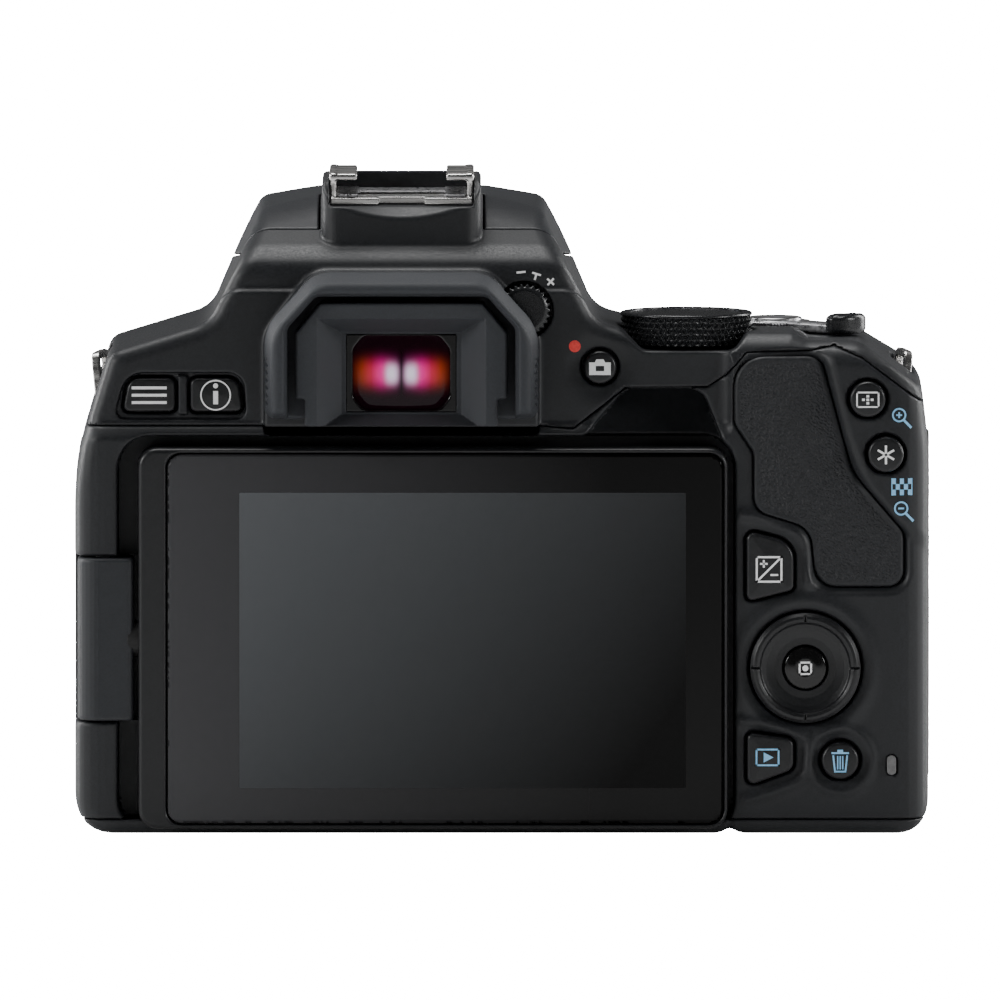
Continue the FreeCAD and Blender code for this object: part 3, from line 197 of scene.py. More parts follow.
def block(x, y, z, lows, highs, edge=0.0):
    q = [slab(c, lo, hi) + edge for c, lo, hi in zip((x, y, z), lows, highs)]
    outside = np.sqrt(sum(np.maximum(c, 0) ** 2 for c in q))
    return np.minimum(np.maximum(np.maximum(q[0], q[1]), q[2]), 0) + outside - edge


def disc(u, v, centre, radius):
    return np.hypot(u - centre[0], v - centre[1]) - radius


def smoothstep(t, low, high):
    s = np.clip((t - low) / (high - low), 0, 1)
    return s * s * (3 - 2 * s)


# ------------------------------------------------------------------ meshing
CHUNK = 60000


def evaluate(field, points):
    """The field at many points, in chunks on all cores."""
    out = np.empty(len(points))

    def work(start):
        part = points[start:start + CHUNK]
        out[start:start + CHUNK] = field(part[:, 0], part[:, 1], part[:, 2])

    with ThreadPoolExecutor(4) as pool:
        list(pool.map(work, range(0, len(points), CHUNK)))
    return out


def gradient(field, points, eps=0.03):
    steps = np.eye(3) * eps
    return np.stack([evaluate(field, points + s) - evaluate(field, points - s) for s in steps],
                    1) / (2 * eps)


def sample(field, low, shape, step, group=8):
    """The field on a grid, worked out only in the groups of cells that the surface may cross."""
    values = np.empty(shape)
    counts = [math.ceil(n / group) for n in shape]
    index = np.stack(np.meshgrid(*[np.arange(c) for c in counts], indexing="ij"), -1).reshape(-1, 3)
    centres = low + (index * group + (group - 1) / 2) * step
    middle = evaluate(field, centres)
    reach = step * group * 0.5 * math.sqrt(3) * 1.25 + step
    coarse = middle.reshape(counts)
    for axis in range(3):
        coarse = np.repeat(coarse, group, axis)
    values[:] = coarse[:shape[0], :shape[1], :shape[2]]
    active = index[np.abs(middle) < reach]
    local = np.stack(np.meshgrid(*[np.arange(group)] * 3, indexing="ij"), -1).reshape(-1, 3)
    cells = (active[:, None, :] * group + local[None]).reshape(-1, 3)
    cells = cells[(cells < np.array(shape)).all(1)]
    values[tuple(cells.T)] = evaluate(field, low + cells * step)
    return values


CORNERS = np.array([(i, j, k) for i in (0, 1) for j in (0, 1) for k in (0, 1)])
CELL_EDGES = [(a, b) for a in range(8) for b in range(a + 1, 8) if abs(CORNERS[a] - CORNERS[b]).sum() == 1]


def surface(field, low, high, step):
    """Quads on the zero level of a field inside a box: vertices, faces."""
    low = np.array(low, float)
    shape = tuple(int(math.ceil(s)) + 1 for s in (np.array(high) - low) / step)
    values = sample(field, low, shape, step)
    inside = values < 0
    cell_shape = tuple(n - 1 for n in shape)
    count = np.zeros(cell_shape, np.int8)
    for i, j, k in CORNERS:
        count += inside[i:i + cell_shape[0], j:j + cell_shape[1], k:k + cell_shape[2]]
    cells = np.argwhere((count > 0) & (count < 8))
    number = np.full(cell_shape, -1)
    number[tuple(cells.T)] = np.arange(len(cells))
    corner_values = np.stack([values[tuple((cells + c).T)] for c in CORNERS], 1)
    total = np.zeros((len(cells), 3))
    hits = np.zeros(len(cells))
    for a, b in CELL_EDGES:
        va, vb = corner_values[:, a], corner_values[:, b]
        cross = (va < 0) != (vb < 0)
        t = np.where(cross, va / np.where(cross, va - vb, 1), 0)
        total += cross[:, None] * (CORNERS[a] + t[:, None] * (CORNERS[b] - CORNERS[a]))
        hits += cross
    vertices = low + (cells + total / hits[:, None]) * step
    faces = []
    for axis in range(3):
        u, v = (axis + 1) % 3, (axis + 2) % 3
        here = [slice(None)] * 3
        there = [slice(None)] * 3
        here[axis], there[axis] = slice(0, -1), slice(1, None)
        for side in (u, v):
            here[side] = there[side] = slice(1, -1)
        first, second = inside[tuple(here)], inside[tuple(there)]
        for flip in (False, True):
            at = np.argwhere((first & ~second) if not flip else (~first & second))
            at[:, u] += 1
            at[:, v] += 1
            du, dv = np.eye(3, dtype=int)[u], np.eye(3, dtype=int)[v]
            ring = [at - du - dv, at - dv, at, at - du]
            quad = np.stack([number[tuple(c.T)] for c in ring], 1)
            faces.append(quad[:, ::-1] if flip else quad)
    faces = np.concatenate(faces)
    return vertices, faces[(faces >= 0).all(1)]


def settle(field, vertices, step, rounds=3):
    """Moves vertices onto the zero level, and returns them with their normals."""
    start = vertices.copy()
    for _ in range(rounds):
        slope = gradient(field, vertices)
        value = evaluate(field, vertices)
        vertices = vertices - slope * (value / np.maximum((slope ** 2).sum(1), 0.3))[:, None]
        drift = vertices - start
        length = np.linalg.norm(drift, axis=1)[:, None]
        vertices = start + drift * np.minimum(1, 0.7 * step / np.maximum(length, 1e-9))
    normals = gradient(field, vertices, 0.06)
    return vertices, normals / np.maximum(np.linalg.norm(normals, axis=1)[:, None], 1e-9)


def make_object(name, vertices, faces, normals=None):
    mesh = bpy.data.meshes.new(name)
    mesh.from_pydata((np.asarray(vertices) * MM).tolist(), [], np.asarray(faces).tolist())
    mesh.polygons.foreach_set("use_smooth", [True] * len(mesh.polygons))
    mesh.update()
    if normals is not None:
        mesh.normals_split_custom_set_from_vertices(np.asarray(normals).tolist())
    obj = bpy.data.objects.new(name, mesh)
    bpy.context.scene.collection.objects.link(obj)
    return obj


def solid(name, field, low, high, step=0.35):
    """A meshed piece from a distance field inside a box given in mm."""
    step *= COARSE
    vertices, faces = surface(field, np.array(low) - 2 * step, np.array(high) + 2 * step, step)
    vertices, normals = settle(field, vertices, step)
    return make_object(name, vertices, faces, normals)


# ------------------------------------------------------------------ outer form of the body
SIDE_SPARE = 1.0  # width that the soft meeting of two outlines takes back
BACK = Outline(rounded([
    (LEFT_X - SIDE_SPARE, 0.0, 6.0),
    (LEFT_X - SIDE_SPARE, 51.0, 30.0),
    (-41.8, 69.0, 2.6),
    (-27.6, 73.4, 5.0),
    (-20.2, 88.4, 2.4),
    (-12.0, 90.0, 1.5),
    (12.0, 90.0, 1.5),
    (20.2, 88.4, 2.4),
    (27.8, 73.4, 5.0),
    (33.0, DECK_Z, 8.0),
    (56.0, DECK_Z, 1.5),
    (58.2, LEVER_DECK_Z, 1.5),
    (65.6, LEVER_DECK_Z, 4.0),
    (74.6, 64.0, 2.6),
    (RIGHT_X + SIDE_SPARE, 55.0, 10.0),
    (RIGHT_X + SIDE_SPARE, 0.0, 5.0),
]))
PLAN = Outline(rounded([
    (LEFT_X - SIDE_SPARE, REAR_Y, 5.0),
    (RIGHT_X + SIDE_SPARE, REAR_Y, 6.0),
    (RIGHT_X + SIDE_SPARE, 10.0, 20.0),
    (72.8, GRIP_Y, 9.0),
    (51.5, GRIP_Y, 7.5),
    (46.5, FRONT_Y, 4.0),
    (LEFT_X - SIDE_SPARE, FRONT_Y, 12.0),
]))
LEFT_SIDE = Outline(rounded([
    (REAR_Y, -3.0, 0.5),
    (REAR_Y, 57.0, 1.2),
    (UPPER_Y, 59.0, 1.2),
    (UPPER_Y, 78.0, 0.5),
    (17.0, 78.0, 0.5),
    (21.0, 62.0, 8.0),
    (FRONT_Y, 52.0, 8.0),
    (FRONT_Y, -3.0, 1.5),
]))
GRIP_SIDE = Outline(rounded([
    (REAR_Y, -3.0, 0.5),
    (REAR_Y, 67.6, 2.5),
    (UPPER_Y + 1.5, DECK_Z + 1.0, 2.0),
    (9.0, DECK_Z + 1.0, 4.0),
    (41.0, 62.0, 2.0),
    (41.0, -3.0, 0.5),
]))
HUMP_SIDE = Outline(rounded([
    (UPPER_Y, 55.0, 0.5),
    (UPPER_Y, 81.4, 3.5),
    (-14.5, 84.2, 6.0),
    (-3.0, 89.0, 10.0),
    (4.0, 91.4, 6.0),
    (29.0, 91.4, 5.0),
    (37.6, 86.6, 4.5),
    (36.6, 66.0, 4.0),
    (22.0, 55.0, 1.0),
]))
HUMP_PLAN = Outline(rounded([(-29.5, -18.6, 3.0), (29.5, -18.6, 3.0), (29.0, 14.0, 14.0), (24.5, 40.0, 6.0),
                             (-24.5, 40.0, 6.0), (-29.0, 14.0, 14.0)]))
THUMB_PAD = Outline(rounded([
    (47.7, 68.6, 4.2),
    (59.9, 68.6, 2.6),
    (64.4, 52.0, 9.0),
    (71.8, 43.4, 2.6),
    (71.8, 35.6, 2.2),
    (59.4, 35.6, 3.2),
    (58.6, 44.0, 3.6),
    (50.5, 46.6, 2.6),
    (50.5, 54.9, 3.0),
    (47.7, 59.0, 3.0),
]), margin=8.0)
ISLAND = Outline(rounded([
    (61.0, 70.5, 1.0),
    (62.0, 64.5, 6.0),
    (63.9, 57.0, 9.0),
    (66.8, 49.8, 7.0),
    (71.0, 44.8, 5.0),
    (75.6, 41.8, 2.0),
    (86.0, 41.0, 1.0),
    (86.0, 62.0, 1.0),
    (76.0, 71.0, 2.0),
]), margin=8.0)
HOUSING = Outline(rounded([
    (-19.6, 57.4, 0.6), (19.6, 57.4, 0.6), (19.6, 72.0, 5.5),
    (12.8, 80.8, 4.5), (-12.8, 80.8, 4.5), (-19.6, 72.0, 5.5),
]))
PEDESTAL = Outline(rect(-PEDESTAL_X, PEDESTAL_X, -14.5, 9.5, 2.5))


def ridge(x, z, path, height, width):
    """A soft raised line along a path of (x, z) points."""
    nearest = np.full(x.shape, 1e9)
    for (ax, az), (bx, bz) in zip(path, path[1:]):
        ex, ez = bx - ax, bz - az
        t = np.clip(((x - ax) * ex + (z - az) * ez) / (ex * ex + ez * ez), 0, 1)
        nearest = np.minimum(nearest, np.hypot(x - ax - t * ex, z - az - t * ez))
    return height * np.exp(-(nearest / width) ** 2)


def curve(points, steps=10):
    """Points of a smooth line through a few (u, v) points."""
    p = np.array([points[0]] + list(points) + [points[-1]], float)
    t = np.linspace(0, 1, steps, endpoint=False)[:, None]
    runs = []
    for a, b, c, d in zip(p, p[1:], p[2:], p[3:]):
        runs.append(0.5 * (2 * b + (c - a) * t + (2 * a - 5 * b + 4 * c - d) * t ** 2
                           + (3 * b - a - 3 * c + d) * t ** 3))
    return [tuple(q) for q in np.concatenate(runs + [p[-1:]])]


AV_RIM = curve([(48.8, 45.9), (53.2, 45.4), (56.6, 44.1), (58.4, 41.2), (58.4, 36.2)], 4)
PLAYBACK_RIM = curve([(48.8, 16.3), (54.6, 15.5), (57.8, 13.6), (58.4, 10.4), (56.6, 7.4), (49.4, 5.0)], 4)


def relief(x, z):
    """How far the rear face stands out of its plane: the key island, soft rims and finger dips."""
    right = smoothstep(x, 47.0, 49.0)
    island = smoothstep(-ISLAND(x, z), -1.3, 1.0)
    pad_floor = smoothstep(-THUMB_PAD(x, z), -1.4, 0.2) * smoothstep(x, 48.0, 58.0)
    raised = 0.7 * island - 1.1 * pad_floor * (1 - island)
    raised = raised + right * ridge(x, z, AV_RIM, 0.45, 0.8)
    raised = raised + right * ridge(x, z, PLAYBACK_RIM, 0.4, 0.8)
    from_cross = np.hypot(x - CROSS[0], z - CROSS[1])
    raised = raised + right * 0.35 * np.exp(-((from_cross - CROSS_R - 1.7) / 1.1) ** 2)
    from_erase = np.hypot(x - ERASE[0], z - ERASE[1])
    raised = raised + right * 0.4 * np.exp(-((from_erase - 4.6) / 0.8) ** 2)
    from_live = np.hypot(x - LIVE_VIEW[0], z - LIVE_VIEW[1])
    raised = raised - 0.5 * np.exp(-(from_live / 4.0) ** 4)
    return raised


def body_form(x, y, z):
    """The closed outer form, before it is parted into covers."""
    fade = 1 - smoothstep(y, -16.0, -8.0)
    yr = y + relief(x, z) * fade
    left = np.maximum(LEFT_SIDE(yr, z), x - 47.0)
    grip = np.maximum(GRIP_SIDE(yr, z), 47.0 - x)
    trunk = meet(join(left, grip, 2.0), PLAN(x, yr), 2.0)
    hump = meet(HUMP_SIDE(yr, z), HUMP_PLAN(x, y), 3.0)
    boss = extrude(disc(x, z, (0, LENS_Z), 34.8), y, 0.0, 37.6, 1.5)
    form = join(join(trunk, hump, 0.8), boss, 4.0)
    return meet(form, BACK(x, z), 2.4)


def housing_field(x, y, z):
    """Raised block round the eyepiece, with a top that slopes back to the hump."""
    raised = extrude(HOUSING(x, z), y, -21.6, -10.0, 0.5)
    slope = (z - 80.8) * 0.9 - (y + 21.6) * 0.42
    return meet(raised, slope, 1.0)


def pedestal_field(x, y, z):
    """Block under the accessory shoe, with a bevelled rear edge and a sunk seat."""
    foot = extrude(PEDESTAL(x, y), z, 78.0, 93.4, 0.7)
    bevel = (z - 88.2 - 0.022 * x * x) * 0.85 - (y + 14.5) * 0.53
    foot = meet(foot, bevel, 0.5)
    seat = block(x, y, z, (-10.35, -30, 89.7), (10.35, 8.6, 96), 0.4)
    return carve(foot, seat, 0.3)


def flash_region(x, y, z):
    """Space of the folding flash: a head in front of the shoe, and an arm on each side of it."""
    ay, az = FLASH_AXIS
    head = np.maximum(9.9 - y, 81.0 - z)
    head = np.maximum(head, np.minimum(17.5 - np.hypot(y - ay, z - az), PEDESTAL_X + 0.35 - np.abs(x)))
    eye = disc(y, z, (ay, az), FLASH_EYE_R)
    lower = az - FLASH_EYE_R + (y - ay) * (81.0 - az + FLASH_EYE_R) / (12.0 - ay)
    bar = np.maximum(ay - y, lower - z)
    arm = np.maximum(np.minimum(eye, bar), PEDESTAL_X + 0.35 - np.abs(x))
    return np.minimum(head, arm)


# Joint line between the top cover and the covers below it, seen from behind
SEAM = Outline(np.array([(-60, -20), (-60, 58.6), (20.0, 58.6), (24.6, 58.2), (32.0, 64.0), (43.8, 64.2),
                         (46.6, 66.0),
                         (49.4, 69.2), (58.5, 69.4), (62.0, 70.1), (66.0, 68.4), (74.0, 62.4), (90.0, 57.0),
                         (90, -20)]),
               step=0.25)


# ------------------------------------------------------------------ openings in the rear face
MENU = rounded([(-39.9, 60.6, 0.9), (-32.4, 60.6, 0.9), (-32.4, 65.4, 0.9), (-39.0, 65.4, 1.8)])
INFO = rounded([(-30.2, 60.6, 0.9), (-22.7, 60.6, 0.9), (-23.3, 65.4, 1.8), (-30.2, 65.4, 0.9)])
EXPOSURE = rounded([(49.4, 33.5, 0.8), (56.1, 35.2, 0.9), (56.1, 42.0, 3.2), (49.4, 43.7, 1.0)])
PLAYBACK = rounded([(49.5, 7.0, 0.9), (56.1, 9.4, 1.6), (56.1, 13.8, 1.2), (49.5, 14.7, 0.8)])
SHAPED = {"menu": Outline(MENU), "info": Outline(INFO), "exposure": Outline(EXPOSURE),
          "playback": Outline(PLAYBACK)}
KEY_RECESS = Outline(rounded([(-41.3, 59.5, 1.4), (-22.2, 59.5, 1.4), (-22.6, 66.2, 2.4),
                              (-39.4, 66.2, 3.2)]))
RECESS = Outline(rect(-40.6, 47.7, 0.6, 57.2, 4.6))
NOTCH = Outline(rounded([(23.6, 54.0, 0.5), (46.9, 54.0, 0.5), (43.0, 63.8, 2.6), (32.0, 63.8, 2.6)]))
DIAL_SLOT = Outline(rounded([(34.6, 69.3, 1.8), (47.6, 69.3, 1.8), (49.8, 72.4, 0.4), (52.0, 76.0, 0.4),
                             (29.6, 76.0, 0.4), (31.4, 72.4, 0.4)]))
LAMP = Outline(rect(69.5, 70.8, 8.6, 11.4, 0.62))


def screen_recess(x, y, z):
    """Space behind the screen panel, with the finger notch above it and the room for the hinge."""
    deep = extrude(RECESS(x, z), y, -40.0, RECESS_Y, 0.0)
    notch = np.maximum(extrude(NOTCH(x, z), y, -40.0, -12.6), (y + 16.6 - (z - 57.0) * 0.5) * 0.85)
    space = join(deep, notch, 0.5)
    hinge = np.maximum(disc(x, y, SWING, 6.4), slab(z, HINGE_Z[0] - 0.2, HINGE_Z[1] + 0.2))
    corner = block(x, y, z, (-60, -40, HINGE_Z[0] - 0.2), (SWING[0], SWING[1], HINGE_Z[1] + 0.2))
    behind = block(x, y, z, (SWING[0] - 1, -40, HINGE_Z[0] - 0.2), (-36, SWING[1], HINGE_Z[1] + 0.2))
    return np.minimum(np.minimum(space, hinge), np.minimum(corner, behind))


def key_holes(x, y, z):
    """Holes for the rear keys, each a little larger than its key."""
    deep = y - -14.0
    holes = [np.hypot(x - cx, z - cz) - r for (cx, cz), r in
             ((AF_POINT, 2.95), (AE_LOCK, 2.95), (ERASE, 3.05), (LIVE_VIEW, 2.75), (CROSS, CROSS_R + 0.3))]
    holes += [SHAPED[key](x, z) - 0.35 for key in SHAPED]
    return np.maximum(np.minimum.reduce(holes), deep)


def rear_cuts(form, x, y, z):
    """All that is sunk into the rear face, with softened rims."""
    form = carve(form, screen_recess(x, y, z), 0.7)
    form = carve(form, key_holes(x, y, z), 0.35)
    keys = extrude(KEY_RECESS(x, z), y, -40.0, UPPER_Y + 0.75, 0.0)
    bridge = block(x, y, z, (-32.0, -30, 60.2), (-30.6, 0, 65.8), 0.2)
    form = carve(form, carve(keys, bridge, 0.2), 0.35)
    pad = extrude(THUMB_PAD(x, z) - 0.18, y + relief(x, z), -40.0, REAR_Y + 0.9)
    form = carve(form, pad, 0.25)
    return carve(form, np.maximum(LAMP(x, z) - 0.1, y + 19.0), 0.15)


MODE_WELL_R = MODE_DIAL_R + 0.3


def top_cuts(form, x, y, z):
    """Wells of the dials, the lever and the keys on the top."""
    dial = np.maximum(disc(x, y, MODE_DIAL, MODE_WELL_R), MODE_DIAL_Z[0] - 0.3 - z)
    slot = np.maximum(DIAL_SLOT(x, z), y - MODE_DIAL[1])
    form = carve(form, np.minimum(dial, slot), 0.5)
    lever = np.maximum(disc(x, y, LEVER_PIVOT, 6.5), 71.1 - z)
    form = carve(form, lever, 0.3)
    mx, my, mz = MAIN_DIAL
    wheel = extrude(disc(y, z, (my, mz), MAIN_DIAL_R + 0.35), x, mx - 2.65, mx + 2.65)
    form = carve(form, wheel, 0.4)
    for (cx, cy), radius in ((SHUTTER_AT, 4.85), (ISO_AT, 2.35)):
        form = carve(form, slope_disc(x, y, z, cx, cy, radius), 0.4)
    return form


SLOPE = (9.0, DECK_Z, 10.0 / 32.0)  # where the grip's top starts to fall, its height there, and its fall
TILT = math.atan(SLOPE[2])


def slope_z(y):
    return SLOPE[1] - (y - SLOPE[0]) * SLOPE[2]


def slope_frame(x, y, z, cx, cy):
    """Coordinates about a point of the sloping top: across, along the slope and out of it."""
    dy, dz = y - cy, z - slope_z(cy)
    return x - cx, dy * math.cos(TILT) - dz * math.sin(TILT), dy * math.sin(TILT) + dz * math.cos(TILT)


def slope_disc(x, y, z, cx, cy, radius):
    across, along, out = slope_frame(x, y, z, cx, cy)
    return np.maximum(np.hypot(across, along) - radius, -6.0 - out)


PORT_LEFT = Outline(rect(-1.5, 11.0, 33.0, 55.0, 2.0))
PORT_RIGHT = Outline(rect(-13.6, -3.6, 17.6, 34.8, 2.0))


def port_cuts(form, x, y, z):
    depth = -1.2 - body_form(x, y, z)
    form = carve(form, np.maximum(np.maximum(PORT_LEFT(y, z) - 0.2, depth), x - LEFT_X - 5.0), 0.2)
    form = carve(form, np.maximum(np.maximum(PORT_RIGHT(y, z) - 0.2, depth), RIGHT_X - 5.0 - x), 0.2)
    left = block(x, y, z, (LEFT_X - 9, 0.3, 35.0), (LEFT_X + 5, 9.7, 53.0), 0.6)
    right = block(x, y, z, (RIGHT_X - 5, -12.2, 19.4), (RIGHT_X + 9, -5.0, 33.0), 0.6)
    return carve(carve(form, left, 0.2), right, 0.2)


# ------------------------------------------------------------------ covers
def hollowed(form, thickness=WALL):
    """Leaves a wall of one thickness inside a form."""
    return np.maximum(form, -(form + thickness))


def lug_slots(form, x, y, z):
    for cx, cz in ((71.8, 64.6), (-43.0, 64.4)):
        form = carve(form, block(x, y, z, (cx - 1.6, -1.2, cz - 4), (cx + 1.6, 9.2, cz + 4)), 0.2)
    return form


def rear_field(x, y, z):
    form = port_cuts(rear_cuts(body_form(x, y, z), x, y, z), x, y, z)
    form = carve(form, housing_field(x, y, z) - GAP)
    form = meet(form, np.maximum(y - SPLIT_Y + GAP / 2, SEAM(x, z) + GAP / 2), 0.25)
    return hollowed(meet(form, BASE + GAP / 2 - z, 0.25))


def front_field(x, y, z):
    form = port_cuts(body_form(x, y, z), x, y, z)
    form = carve(form, extrude(disc(x, z, (0, LENS_Z), 32.7), y, -10, 60), 0.2)
    form = carve(form, extrude(RELEASE(x, z) - 0.3, y, 15, 60), 0.3)
    form = carve(form, disc(x, z, (44.5, 50.5), 2.3) + np.maximum(0, 15 - y), 0.3)
    form = carve(form, screen_recess(x, y, z), 0.5)
    boss = extrude(disc(x, z, (0, LENS_Z), 34.9), y, FRONT_Y - 0.5, 60)
    seam = np.minimum(SEAM(x, z) + GAP / 2, boss)
    form = meet(form, np.maximum(SPLIT_Y + GAP / 2 - y, seam), 0.25)
    form = top_cuts(lug_slots(form, x, y, z), x, y, z)
    return hollowed(meet(form, BASE + GAP / 2 - z, 0.25))


def top_field(x, y, z):
    form = join(body_form(x, y, z), housing_field(x, y, z), 0.8)
    form = join(form, pedestal_field(x, y, z), 0.6)
    form = carve(form, flash_region(x, y, z) - 0.1, 0.2)
    form = top_cuts(rear_cuts(form, x, y, z), x, y, z)
    boss = extrude(disc(x, z, (0, LENS_Z), 35.0), y, FRONT_Y - 0.5, 60)
    form = carve(form, boss)
    form = meet(form, GAP / 2 - SEAM(x, z), 0.25)
    form = carve(form, np.maximum(disc(x, z, DIOPTRE, 4.1), y + 16.4), 0.2)
    form = carve(lug_slots(form, x, y, z), extrude(EYE_TUNNEL(x, z), y, -40, -14), 0.3)
    return hollowed(form)


def base_field(x, y, z):
    form = meet(body_form(x, y, z), z - BASE + GAP / 2, 0.25)
    door = np.maximum(slab(x, 47.35, 71.65), slab(y, -6.15, 33.65))
    form = carve(form, door, 0.15)
    form = carve(form, disc(x, y, (0, 0), 3.35), 0.3)
    for cx, cy in ((-38.0, 14.0), (-38.0, -8.0), (38.0, 18.0), (20.0, -10.0)):
        form = carve(form, np.maximum(disc(x, y, (cx, cy), 2.6), z - 1.1), 0.1)
    return form


RELEASE = Outline(rounded([(-42.4, 25.0, 2.4), (-36.4, 25.0, 2.4), (-36.4, 37.0, 2.4), (-42.4, 37.0, 2.4)]))
EYE_TUNNEL = Outline(rect(-8.1, 8.1, EYE_Z - 6.9, EYE_Z + 6.9, 2.4))


def flash_field(x, y, z):
    form = meet(body_form(x, y, z), flash_region(x, y, z) + 0.12, 0.3)
    lamp = block(x, y, z, (-15.5, 17.0, 70), (15.5, 35.0, 84.0), 0.6)
    return carve(form, lamp, 0.3)


COVERS = {
    "rear_cover": (rear_field, (LEFT_X - 1, -22.5, BASE), (RIGHT_X + 1, SPLIT_Y, 72.5)),
    "front_cover": (front_field, (LEFT_X - 1, SPLIT_Y, BASE), (RIGHT_X + 1, 40.0, 73.0)),
    "top_cover": (top_field, (LEFT_X - 1, -22.0, 55.0), (RIGHT_X + 1, 40.0, 94.0)),
    "base_cover": (base_field, (LEFT_X - 1, REAR_Y, 0.0), (RIGHT_X + 1, 40.0, BASE)),
    "flash_cover": (flash_field, (-30.0, -10.0, 80.0), (30.0, 40.0, 92.0)),
}


# ------------------------------------------------------------------ keys and dials
def crowned(flat, y, face, back, edge, crown=0.15):
    """A key: a prism with rounded front edges and a slightly domed face."""
    dome = crown * np.clip(1 + flat / 3.0, 0, 1)
    return extrude(flat, y, face + dome, back, edge)


def round_key(centre, radius, face, proud=0.9, crown=0.2):
    def field(x, y, z):
        return crowned(disc(x, z, centre, radius), y, face - proud, face + 2.4, 0.45, crown)
    return field, (centre[0] - radius, face - proud - 0.3, centre[1] - radius), \
        (centre[0] + radius, face + 2.4, centre[1] + radius)


def shaped_key(name, face, proud=0.8):
    outline = SHAPED[name]
    points = {"menu": MENU, "info": INFO, "exposure": EXPOSURE, "playback": PLAYBACK}[name]

    def field(x, y, z):
        return crowned(outline(x, z), y, face - proud, face + 2.4, 0.4, 0.15)
    (x0, z0), (x1, z1) = points.min(0), points.max(0)
    return field, (x0, face - proud - 0.3, z0), (x1, face + 2.4, z1)


def thumb_field(x, y, z):
    """Leather pad: a soft-edged plate with a fine pebbled face."""
    u, v = x * 7.2, z * 7.2
    grain = np.sin(u + 1.3 * np.sin(v * 0.83) + 0.7 * np.sin(v * 1.71 + 1))
    grain = grain * np.sin(v + 1.2 * np.sin(u * 0.77 + 2))
    grain = grain + 0.6 * np.sin(1.9 * u + 1.5 * np.sin(1.3 * v)) * np.sin(1.7 * v + 1.4 * np.sin(1.1 * u))
    yr = y + relief(x, z) + 0.07 * grain * smoothstep(-THUMB_PAD(x, z), 0.3, 1.2)
    return extrude(THUMB_PAD(x, z) - 0.02, yr, REAR_Y - 0.2, REAR_Y + 0.8, 0.55)


def cross_ring_field(x, y, z):
    r = np.hypot(x - CROSS[0], z - CROSS[1])
    face = np.interp(r, [3.2, 4.4, 5.6, 6.3, 6.55, 7.0, 7.4, 7.9],
                     [-20.25, -20.3, -20.55, -20.85, -21.25, -21.5, -21.4, -20.9])
    form = np.maximum(extrude(np.maximum(r - CROSS_R, 3.25 - r), y, -22.0, -18.7, 0.1), face - y)
    dx, dz = np.abs(x - CROSS[0]), np.abs(z - CROSS[1])
    ticks = np.minimum(np.maximum(slab(dx, 6.2, 7.7), dz - 0.13), np.maximum(slab(dz, 6.6, 7.5), dx - 0.1))
    return carve(form, np.maximum(ticks, y + 20.9), 0.12) * 0.85


def set_field(x, y, z):
    r = np.hypot(x - CROSS[0], z - CROSS[1])
    face = -21.3 + 0.28 * smoothstep(r, 1.2, 2.9) + 0.12 * np.exp(-(r / 1.2) ** 2)
    return extrude(r - 3.0, y, face, -17.0, 0.25)


def mode_dial_field(x, y, z):
    """Drum with a knurl of small pyramids, and a flat top with a chamfered rim."""
    px, py = x - MODE_DIAL[0], y - MODE_DIAL[1]
    r, turn = np.hypot(px, py), np.arctan2(py, px)
    a, b = turn * 50 / (2 * math.pi), (z - MODE_DIAL_Z[0]) / 1.7
    pyramid = np.minimum(np.abs((a + b) % 1 - 0.5), np.abs((a - b) % 1 - 0.5)) * 2
    depth = 0.6 * (1 - pyramid) * smoothstep(MODE_DIAL_Z[1] - 0.35 - z, 0, 0.3)
    drum = extrude(r - MODE_DIAL_R + depth, z, *MODE_DIAL_Z, 0.35)
    top = carve(drum, extrude(r - MODE_DIAL_R + 1.5, z, MODE_DIAL_Z[1] - 0.25, 90), 0.2)
    return np.minimum(top, extrude(r - 2.0, z, 66.0, 71.0)) * 0.75


def main_dial_field(x, y, z):
    mx, my, mz = MAIN_DIAL
    r, turn = np.hypot(y - my, z - mz), np.arctan2(y - my, z - mz)
    ribs = 0.32 * (0.5 - 0.5 * np.cos(turn * 32)) ** 2
    wheel = extrude(r - MAIN_DIAL_R + ribs, x, mx - 2.3, mx + 2.3, 0.4)
    return np.minimum(wheel, extrude(r - 1.2, x, mx - 4.2, mx + 4.2))


def lever_hub_field(x, y, z):
    """Milled metal disc of the power lever, stepped in towards its top."""
    px, py = x - LEVER_PIVOT[0], y - LEVER_PIVOT[1]
    r, turn = np.hypot(px, py), np.arctan2(py, px)
    ribs = 0.12 * (0.5 - 0.5 * np.cos(turn * 72)) * smoothstep(r, 3.6, 4.6)
    low = extrude(r - 5.2 + ribs, z, 71.15, 72.25, 0.3)
    high = extrude(r - 3.9, z, 71.6, 72.75, 0.35)
    return np.minimum(join(low, high, 0.2), extrude(r - 2.0, z, 66.5, 71.5))


LEVER_WAY = np.array(LEVER_TIP) - LEVER_PIVOT
LEVER_LENGTH = float(np.hypot(*LEVER_WAY))


def lever_frame(x, y):
    """Coordinates along and across the power lever's arm, from its pivot."""
    way = LEVER_WAY / LEVER_LENGTH
    px, py = x - LEVER_PIVOT[0], y - LEVER_PIVOT[1]
    return px * way[0] + py * way[1], -px * way[1] + py * way[0]


def lever_arm_field(x, y, z):
    u, v = lever_frame(x, y)
    width = 2.5 - 0.05 * u
    return extrude(np.maximum(np.abs(v) - width, slab(u, 3.0, LEVER_LENGTH - 0.6)), z, 70.95, 72.35, 0.35)


